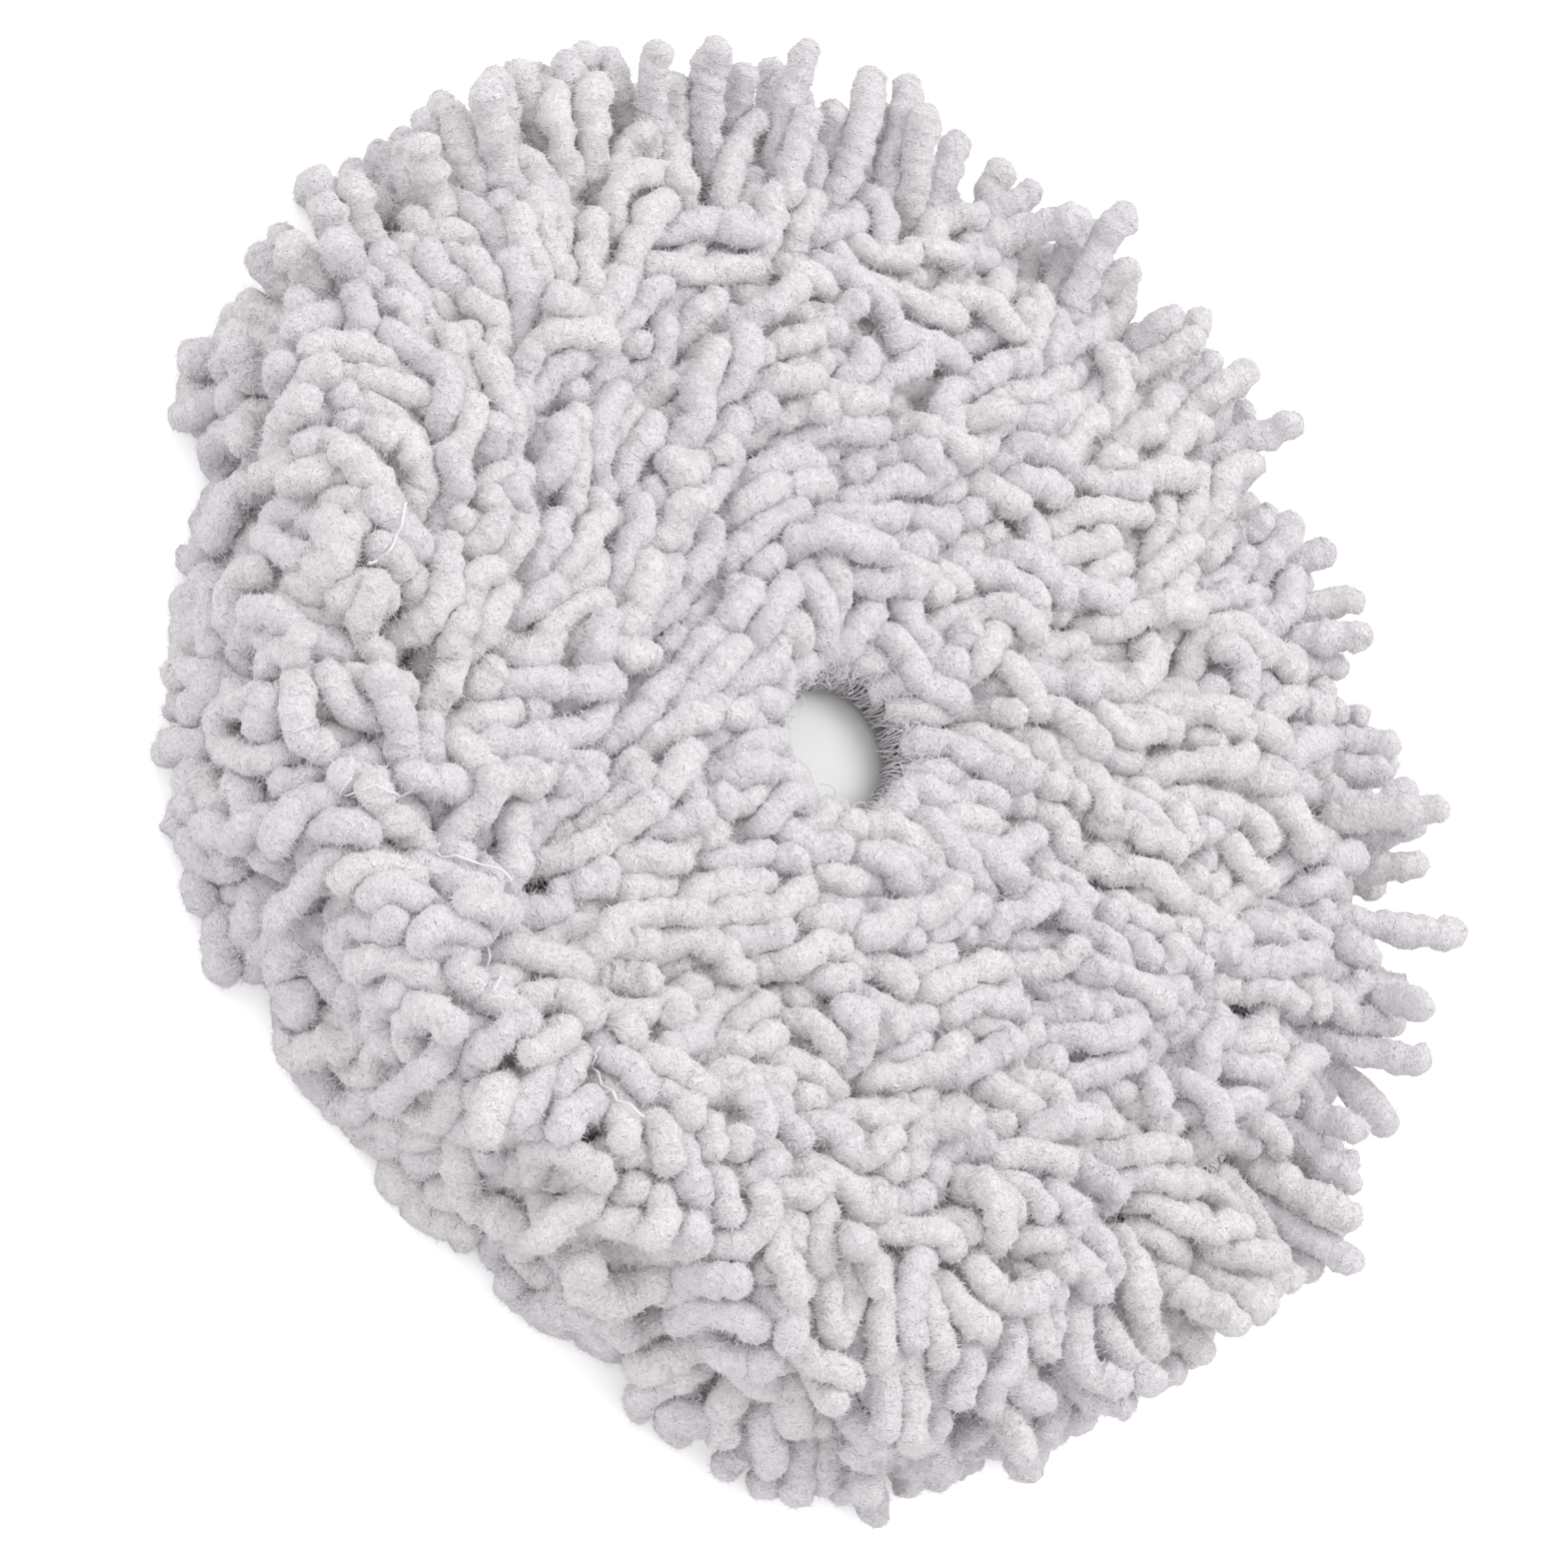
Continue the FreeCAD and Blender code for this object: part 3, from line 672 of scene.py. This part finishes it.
def distance_along(paths):
    """How far each point of each path is from the path's start."""
    gaps = np.linalg.norm(np.diff(paths, axis=1), axis=2)
    return np.concatenate([np.zeros((len(paths), 1)), np.cumsum(gaps, axis=1)], axis=1)


def rows_piece(name, centres, radii, material, hairs=0, nap_glow_material=None, tones=(0, 1)):
    """One piece of many tubes. Its tone attribute differs from tube to tube, and its lay attribute
    holds the cosine and sine of the angle round the tube and the distance along it."""
    points, faces = tubes(centres, radii)
    count, rings, sides = radii.shape
    size = points.shape[1]
    every = [[i + size * row for i in face] for row in range(count) for face in faces]
    run = distance_along(centres)
    turn = np.arange(sides) * 2 * math.pi / sides
    lay = np.zeros((count, size, 3))
    body = np.empty((count, rings, sides, 3))
    body[..., 0], body[..., 1], body[..., 2] = np.cos(turn), np.sin(turn), run[..., None]
    lay[:, :-2] = body.reshape(count, -1, 3)
    lay[:, -2:, 2] = run[:, [0, -1]]
    shade = rng.uniform(*tones, count)
    hair = tufts(centres, points, hairs)
    hair_lay = np.tile([[1.0, 0.0, 0.0]], (len(hair), 1))
    points = points.reshape(-1, 3)
    every += (np.arange(len(hair)).reshape(-1, 3) + len(points)).tolist()
    piece = new_piece(name, (np.concatenate([points, hair]) * MM).tolist(), every, material)
    tone = piece.data.attributes.new("tone", "FLOAT", "POINT")
    tone.data.foreach_set("value", np.concatenate([np.repeat(shade, size), np.repeat(shade, 3 * hairs)]))
    laid = piece.data.attributes.new("lay", "FLOAT_VECTOR", "POINT")
    laid.data.foreach_set("vector", np.concatenate([lay.reshape(-1, 3), hair_lay]).ravel())
    if hairs:
        piece.data.materials.append(nap_glow_material)
        body_faces = len(faces) * count
        slots = np.repeat([0, 1], [body_faces, len(every) - body_faces])
        piece.data.polygons.foreach_set("material_index", slots)
    return piece


def smooth_paths(beads, samples):
    """Points at the sampled distances on smooth curves through the beads, straight at the tip."""
    before = 2 * beads[:, :1] - beads[:, 1:2]
    after = 2 * beads[:, -1:] - beads[:, -2:-1]
    knots = np.concatenate([before, beads, after, after * 2 - beads[:, -1:]], axis=1)
    t = np.linspace(0, 1, 8, endpoint=False)[:, None]
    parts = []
    for k in range(BEADS):
        a, b, c, d = (knots[:, k + m][:, None] for m in range(4))
        square, cube = 2 * a - 5 * b + 4 * c - d, 3 * b - a - 3 * c + d
        parts.append(0.5 * (2 * b + (c - a) * t + square * t**2 + cube * t**3))
    dense = np.concatenate(parts, axis=1)
    run = distance_along(dense)
    samples = samples * np.minimum(1, 0.99 * run[:, -1:] / samples[:, -1:])
    out = np.empty((len(dense), samples.shape[1], 3))
    for i in range(len(dense)):
        for axis in range(3):
            out[i, :, axis] = np.interp(samples[i], run[i], dense[i, :, axis])
    return out


SKIRT_THICKER = 1.06
length = (link * (BEADS - 1)).ravel() + STRAND_RADIUS * 0.9
dome = np.radians([22, 45, 66, 82])
body_rings = RINGS - len(dome)
thick = STRAND_RADIUS * np.where(is_face, 1.0, SKIRT_THICKER) * rng.uniform(0.92, 1.08, count)
samples = np.concatenate([
    np.linspace(0, 1, body_rings)[None] * (length - thick)[:, None],
    (length - thick)[:, None] + thick[:, None] * np.sin(dome)[None],
], axis=1)
centres = smooth_paths(beads, samples)
profile = np.concatenate([np.ones(body_rings), np.cos(dome)])
turn = np.arange(SIDES) * 2 * math.pi / SIDES
# lumps: waves along the strand that wind round it, as millimetres, turns and share of the radius
LUMPS = ((4.4, 1, 0.07), (3.1, 0, 0.045), (2.6, 2, 0.05), (6.5, -1, 0.06), (2.1, -3, 0.04))
lump = np.zeros((count, RINGS, SIDES))
for wave, lobes, depth in LUMPS:
    own = rng.uniform(0, 2 * math.pi, (count, 1, 1))
    stretch = rng.uniform(0.8, 1.25, (count, 1, 1))
    phase = samples[..., None] * stretch * 2 * math.pi / wave + lobes * turn + own
    lump += depth * rng.uniform(0.3, 1.1, (count, 1, 1)) * np.sin(phase)
fuzz = rng.normal(0, 0.30, (count, RINGS, SIDES))
for axis in (1, 2):
    fuzz = (np.roll(fuzz, 1, axis) + 2 * fuzz + np.roll(fuzz, -1, axis)) / 4
radii = thick[:, None, None] * profile[None, :, None] * (1 + lump + fuzz)

chenille, shader = new_material("microfibre_chenille")
place = add_node(chenille, "TexCoord").outputs["Object"]


def chenille_range(value, least, most):
    """Brings the middle of a noise to a range of the pile's own."""
    limits = {"Value": value, "From Min": 0.3, "From Max": 0.7, "To Min": least, "To Max": most}
    return add_node(chenille, "MapRange", limits).outputs["Result"]


# the twist: a furrow that winds round the strand and wanders a little
lay = add_node(chenille, "Attribute", attribute_name="lay").outputs["Vector"]
lay = add_node(chenille, "SeparateXYZ", {"Vector": lay})
angle = add_node(chenille, "Math", {0: lay.outputs["Y"], 1: lay.outputs["X"]}, operation="ARCTAN2").outputs[0]
wander = add_node(chenille, "TexNoise", {"Vector": place, "Scale": per_mm(3.0), "Detail": 1.0}).outputs["Fac"]
drift = add_node(chenille, "Math", {0: wander, 1: 4.0, 2: angle}, operation="MULTIPLY_ADD").outputs[0]
pace = {0: lay.outputs["Z"], 1: 2 * math.pi / TWIST, 2: drift}
winding = add_node(chenille, "Math", pace, operation="MULTIPLY_ADD").outputs[0]
wave = add_node(chenille, "Math", {0: winding}, operation="SINE").outputs[0]
groove = add_node(chenille, "MapRange", {"Value": wave, "From Min": -1.0}).outputs["Result"]
# painted shade: the colour darkens a little down in the furrow
furrow = add_node(chenille, "MapRange", {"Value": groove, "To Min": 0.965}).outputs["Result"]

# the colour: each strand's own tone, a wash over the whole pile, and painted shade in the twist's furrow and
# in the hollows of the nap and its fibres
tone = add_node(chenille, "Attribute", attribute_name="tone").outputs["Fac"]
wash = add_node(chenille, "TexNoise", {"Vector": place, "Scale": per_mm(45), "Detail": 1.0}).outputs["Fac"]
patchy = chenille_range(wash, -0.2, 0.2)
tone = add_node(chenille, "Math", {0: tone, 1: patchy}, operation="ADD").outputs[0]
shade = add_node(chenille, "MixRGB", {"Fac": tone, "Color1": colour("#E9E5EA"), "Color2": colour("#F3F0F0")})
fine_noise = {"Vector": place, "Scale": per_mm(0.8), "Detail": 3.0, "Roughness": 0.7}
nap = add_node(chenille, "TexNoise", fine_noise).outputs["Fac"]
fibre = add_node(chenille, "TexNoise", {"Vector": place, "Scale": per_mm(0.3), "Detail": 1.0}).outputs["Fac"]
# painted shade: the colour darkens in the hollows of the nap and of the fibres, on the same noises as their
# relief
nap_shade = chenille_range(nap, 0.87, 1.06)
fibre_shade = chenille_range(fibre, 0.95, 1.04)
painted_shade = add_node(chenille, "Math", {0: nap_shade, 1: furrow}, operation="MULTIPLY").outputs[0]
painted_shade = add_node(chenille, "Math", {0: painted_shade, 1: fibre_shade}, operation="MULTIPLY").outputs[0]
tone_and_shade = add_node(chenille, "VectorMath", {0: shade.outputs["Color"], "Scale": painted_shade}, operation="SCALE")
join(chenille, tone_and_shade.outputs["Vector"], shader, "Base Color")

# the relief: furrow, nap and fibre, one over the other
relief = None
for height, strength, rise in ((groove, 1.0, 0.2), (nap, 1.0, 0.7), (fibre, 0.8, 0.3)):
    links = {"Height": height, "Strength": strength, "Distance": rise * MM}
    if relief is not None:
        links["Normal"] = relief
    relief = add_node(chenille, "Bump", links).outputs["Normal"]
join(chenille, relief, shader, "Normal")
shader.inputs["Roughness"].default_value = 1.0
shader.inputs["Specular IOR Level"].default_value = 0.1
shader.inputs["Sheen Weight"].default_value = 0.35
shader.inputs["Sheen Roughness"].default_value = 0.6

# the loose ends glow a little, painted light for the light that passes through such thin fibres, so their
# shaded side stays pale
glowing_fibre, shader = new_material("microfibre_nap_glow")
shader.inputs["Base Color"].default_value = colour("#C9C5C8")
shader.inputs["Roughness"].default_value = 1.0
shader.inputs["Specular IOR Level"].default_value = 0.0
# painted light: the nap glows a little though no lamp lights it
shader.inputs["Emission Color"].default_value = colour("#E6E2E5")
shader.inputs["Emission Strength"].default_value = 0.27

sector_of = (np.degrees(np.arctan2(root[:, 1], root[:, 0])) % 360 // 45).astype(int)
# the side pile's tones run a little darker and cooler than the face's: painted shade for the pile that hangs
# down round the side
for kind, mine, tones in (("face", is_face, (0.3, 1.0)), ("skirt", ~is_face, (0.25, 0.9))):
    for sector in range(8):
        name = f"{kind}_strands_{sector + 1}"
        chosen = mine & (sector_of == sector)
        piece = rows_piece(name, centres[chosen], radii[chosen], chenille, TUFTS, glowing_fibre, tones)
        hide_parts(f"{kind}_pile_{sector + 1}")


# Hole edge: polyester thread overlocked round the cloth's cut edge, loop beside loop, and rolled
# down into the hole. Each loop is a fine, slightly glossy twisted thread.
LOOPS = 260
LOOP_RADIUS = 0.13


def arc_loops(paths, turns, lean):
    """Rows of points from rows of (radius, height) at angles; lean turns a loop along its length."""
    share = np.linspace(-0.5, 0.5, paths.shape[1])
    angle = turns[:, None] + lean[:, None] * share
    return np.stack([paths[..., 0] * np.cos(angle), paths[..., 0] * np.sin(angle), paths[..., 1]], axis=2)


thread, shader = new_material("polyester_thread_spun")
place = add_node(thread, "TexCoord").outputs["Object"]
shade = add_node(thread, "Attribute", attribute_name="tone").outputs["Fac"]
tint = add_node(thread, "MixRGB", {"Fac": shade, "Color1": colour("#B4AFB3"), "Color2": colour("#F0ECEF")})
ply = add_node(thread, "TexNoise", {"Vector": place, "Scale": per_mm(0.35), "Detail": 2.0})
twisted = add_node(thread, "Bump", {"Height": ply.outputs["Fac"], "Strength": 0.6, "Distance": 0.1 * MM})
join(thread, tint.outputs["Color"], shader, "Base Color")
join(thread, twisted.outputs["Normal"], shader, "Normal")
shader.inputs["Roughness"].default_value = 0.6
shader.inputs["Sheen Weight"].default_value = 0.2

# a loop's way from the face's top over the edge and under it, as radius and height
wrap = np.array([
    (13.0, 27.0), (12.2, 27.5), (11.0, 27.65), (9.9, 27.45), (9.3, 26.8),
    (9.1, 25.9), (9.05, 25.0), (9.15, 24.1), (9.5, 23.4), (10.1, 23.1),
])
turns = (np.arange(LOOPS) + rng.normal(0, 0.2, LOOPS)) * 2 * math.pi / LOOPS
paths = np.repeat(wrap[None], LOOPS, axis=0) + rng.normal(0, 0.2, (LOOPS, 1, 2))
paths += rng.normal(0, 0.13, (LOOPS, len(wrap), 2))
paths[..., 0] += (hole_radius(turns) - HOLE_RADIUS)[:, None]
loops = arc_loops(paths, turns, rng.normal(0.06, 0.16, LOOPS))
loop_radii = np.full((LOOPS, len(wrap), 5), LOOP_RADIUS)
# the loops keep to the thread's darker tones: painted shade for the edge that rolls down into the hole
hole_edge = rows_piece("hole_edge_thread", loops, loop_radii, thread, tones=(0.0, 0.7))
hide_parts("hole_overlock")


# Ground loops: where each strand is knitted in, loose loops of the ground's yarn stand up between
# the strands. They are bare white polyester, and more of them are frayed out round the hole.
CURL_POINTS = 9
FACE_CURLS = 1500
BAND_CURLS = 900
FRAYED = 900
FRAYED_RADIUS = 0.09
FRAY_WIDTH = 4.4


def curls(places, normals, small, large):
    """A loose loop of yarn at each place, a wandering arc that stands on its normal."""
    spots = places + rng.normal(0, 0.9, places.shape)
    stand = normals + rng.normal(0, 0.5, spots.shape)
    stand /= np.linalg.norm(stand, axis=1, keepdims=True)
    along = np.cross(stand, rng.normal(0, 1, spots.shape))
    along /= np.linalg.norm(along, axis=1, keepdims=True)
    aside = np.cross(stand, along)
    sweep = np.linspace(0, 1, CURL_POINTS) * rng.uniform(2.6, 6.5, (len(spots), 1))
    big = rng.uniform(small, large, (len(spots), 1))
    drift = rng.normal(0, 0.5, (len(spots), 1)) * np.linspace(-1, 1, CURL_POINTS)
    points = (
        spots[:, None]
        + along[:, None] * (big * np.cos(sweep))[..., None]
        + stand[:, None] * (big * np.sin(sweep) + 0.5)[..., None]
        + aside[:, None] * drift[..., None]
    )
    return points + rng.normal(0, 0.07, points.shape)


# one at each strand's root, and more spread over the face and the band
spread = rng.uniform(0, 1, (2, FACE_CURLS))
far = 16 + 72 * np.sqrt(spread[0])
turns = 2 * math.pi * spread[1]
height = np.full(FACE_CURLS, ground_top + 0.4)
on_face = np.column_stack([far * np.cos(turns), far * np.sin(turns), height])
turns = rng.uniform(0, 2 * math.pi, BAND_CURLS)
outward = np.column_stack([np.cos(turns), np.sin(turns), np.zeros(BAND_CURLS)])
height = np.column_stack([np.zeros((BAND_CURLS, 2)), rng.uniform(4, 26, BAND_CURLS)])
on_band = outward * (rim_radius + 0.5) + height
places = np.vstack([root + upright * 0.8, on_face, on_band])
normals = np.vstack([upright, np.tile([0, 0, 1.0], (FACE_CURLS, 1)), outward])
loops = curls(places, normals, 0.6, 1.5)
loop_radii = np.full((len(loops), CURL_POINTS, 3), LOOP_RADIUS)
ground_loops = rows_piece("ground_loops", loops, loop_radii, thread, tones=(0.4, 0.8))

# the fray lies mostly on the side where the hole's edge is pulled back, and rises outward
pulled_side = rng.uniform(0, 1, FRAYED) < 0.7
turns = np.where(pulled_side, rng.normal(2.1, 0.75, FRAYED), rng.uniform(0, 2 * math.pi, FRAYED))
past = FRAY_WIDTH * rng.uniform(0, 1, FRAYED) ** 0.8
far = hole_radius(turns) + 1.0 + past
height = ground_top + 0.9 + rng.uniform(0, 0.85, FRAYED) * (past + 0.6)
places = np.column_stack([far * np.cos(turns), far * np.sin(turns), height])
loops = curls(places, np.tile([0, 0, 1.0], (FRAYED, 1)), 0.4, 1.1)
loop_radii = np.full((FRAYED, CURL_POINTS, 3), FRAYED_RADIUS)
# the frayed loops take the glowing nap, painted light that keeps them pale
frayed_edge = rows_piece("frayed_edge", loops, loop_radii, glowing_fibre)


# Thread ends: cut ends of the sewing thread, about 12 mm long, lying loose on the pile where it hangs
# over the rim. They are bright white polyester and bend in lazy waves.
END_HALF = 6.0
END_POINTS = 25
END_RADIUS = 0.2
# the place of each end's middle and the angle that it lies at
ENDS = np.array([(-27, -85, 60), (-11, -77, 20), (2, -84, -35), (26, -76, 10), (-58, -66, 110)], dtype=float)
sweep = np.linspace(-END_HALF, END_HALF, END_POINTS)
heading = np.radians(ENDS[:, 2:]) + 0.5 * np.sin(sweep / 3.1 + np.arange(len(ENDS))[:, None] * 1.7)
stride = np.stack([np.cos(heading), np.sin(heading)], axis=2) * 0.5
over = ENDS[:, None, :2] + np.cumsum(stride, axis=1) - stride.sum(1, keepdims=True) / 2
# each point rests on the highest strand within 2.2 mm, and the thread doesn't dip between strands
pile_points = centres.reshape(-1, 3)
tree = kdtree.KDTree(len(pile_points))
for i, (x, y, _) in enumerate(pile_points):
    tree.insert((x, y, 0), i)
tree.balance()
under = [tree.find_range((x, y, 0), 2.2) for x, y in over.reshape(-1, 2)]
lie = np.array([max(pile_points[i, 2] for _, i, _ in found) for found in under])
lie = lie.reshape(len(ENDS), END_POINTS) + STRAND_RADIUS + 0.5
lie = np.maximum(lie, (np.roll(lie, 1, 1) + np.roll(lie, -1, 1)) / 2)
threads = np.concatenate([over, lie[..., None]], axis=2)
thread_radii = np.full((len(ENDS), END_POINTS, 6), END_RADIUS)
thread_ends = rows_piece("thread_ends", threads, thread_radii, thread, tones=(0.9, 1.0))


# Rim seam: the face and the band are overlocked together, and the ridge lies flat on the rim. The
# same thread zigzags over it.
SEAM_STITCHES = 330
STITCH_RADIUS = 0.17
SEAM_RADIUS = 88.05
SEAM_HEIGHT = 27.1
over_seam = np.array([(87.0, 26.95), (87.3, 27.6), (88.0, 27.85), (88.7, 27.6), (89.05, 26.8), (89.1, 26.0)])
turns = (np.arange(SEAM_STITCHES) + rng.normal(0, 0.12, SEAM_STITCHES)) * 2 * math.pi / SEAM_STITCHES
paths = np.repeat(over_seam[None], SEAM_STITCHES, axis=0) + rng.normal(0, 0.08, (SEAM_STITCHES, 1, 2))
lean = 0.016 * (-1.0) ** np.arange(SEAM_STITCHES)
stitch_radii = np.full((SEAM_STITCHES, len(over_seam), 4), STITCH_RADIUS)
stitches = rows_piece("rim_seam_thread", arc_loops(paths, turns, lean), stitch_radii, thread)


def ridge_section(turn):
    """An oval that swells and narrows from stitch to stitch."""
    lap = np.linspace(0, 2 * math.pi, 10, endpoint=False)
    swell = 1 + 0.12 * math.sin(57 * turn + math.sin(7 * turn))
    return SEAM_RADIUS + 0.85 * swell * np.cos(lap), SEAM_HEIGHT + 0.5 * swell * np.sin(lap)


ridge = ring_piece("rim_seam_ridge", ridge_section, 320, tape)
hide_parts("rim_seam")


# Floor, light and camera: a pale sweep under soft studio light. The floor glows a little for the
# camera and in reflections, so that it stays as bright as the surround.
FLOOR_GLOW = 0.45
bpy.ops.mesh.primitive_plane_add(size=6, location=(0, 0, 0))
floor = bpy.context.object
floor.name = "floor"
paper, shader = new_material("paper_sweep")
shader.inputs["Base Color"].default_value = colour("#F2F2F2")
shader.inputs["Roughness"].default_value = 0.9
rays = add_node(paper, "LightPath").outputs
seen = {0: rays["Is Camera Ray"], 1: rays["Is Glossy Ray"]}
seen = add_node(paper, "Math", seen, operation="MAXIMUM").outputs[0]
lift = add_node(paper, "Math", {0: seen, 1: FLOOR_GLOW}, operation="MULTIPLY").outputs[0]
glow = add_node(paper, "Emission", {"Color": (1, 1, 1, 1), "Strength": lift})
both = add_node(paper, "AddShader", {0: shader.outputs[0], 1: glow.outputs[0]})
join(paper, both.outputs[0], paper.node_tree.nodes["Material Output"], "Surface")
floor.data.materials.append(paper)

world = bpy.context.scene.world or bpy.data.worlds.new("studio")
bpy.context.scene.world = world
world.use_nodes = True
world.node_tree.nodes.clear()
seen = add_node(world, "LightPath").outputs["Is Camera Ray"]
level = add_node(world, "MapRange", {"Value": seen, "To Min": 0.95}).outputs["Result"]
surround = add_node(world, "Background", {"Color": colour("#F6F5F8"), "Strength": level})
add_node(world, "OutputWorld", {"Surface": surround.outputs[0]})


def soft_box(name, azimuth, elevation, distance, size, power):
    """An area lamp aimed at the wheel; azimuth 0 is the camera's side."""
    a, e = math.radians(azimuth), math.radians(elevation)
    towards = Vector((math.sin(a) * math.cos(e), -math.cos(a) * math.cos(e), math.sin(e)))
    lamp = bpy.data.lights.new(name, "AREA")
    lamp.shape = "DISK"
    lamp.size = size
    lamp.energy = power
    lamp_object = bpy.data.objects.new(name, lamp)
    lamp_object.location = towards * distance
    lamp_object.rotation_euler = towards.to_track_quat("Z", "Y").to_euler()
    bpy.context.scene.collection.objects.link(lamp_object)


# azimuth, elevation, distance and size in metres, and power in watts
soft_box("key_light", 172, 62, 1.6, 1.0, 9.6)
soft_box("fill_light", 315, 40, 1.8, 1.6, 6.3)

# the camera looks down at the wheel and is rolled about its line of sight; distances in metres
ELEVATION = math.radians(50)
ROLL_COSINE, ROLL_SINE = 0.484, 0.875
DISTANCE = 0.9
VIEW_WIDTH = 0.2367
AIM_HEIGHT = 27
back = Vector((0, -math.cos(ELEVATION), math.sin(ELEVATION)))
up = Vector((0, math.sin(ELEVATION), math.cos(ELEVATION)))
east = Vector((1, 0, 0))
right = ROLL_COSINE * east + ROLL_SINE * up
top = -ROLL_SINE * east + ROLL_COSINE * up
aim = Vector((0, 0, AIM_HEIGHT * MM)) - right * 7.47 * MM - top * 4.75 * MM
lens = bpy.data.cameras.new("camera")
lens.lens = 36 * DISTANCE / VIEW_WIDTH
camera = bpy.data.objects.new("camera", lens)
stand = Matrix((right, top, back)).transposed().to_4x4()
camera.matrix_world = Matrix.Translation(aim + back * DISTANCE) @ stand
bpy.context.scene.collection.objects.link(camera)
bpy.context.scene.camera = camera
bpy.context.scene.view_settings.view_transform = "Standard"
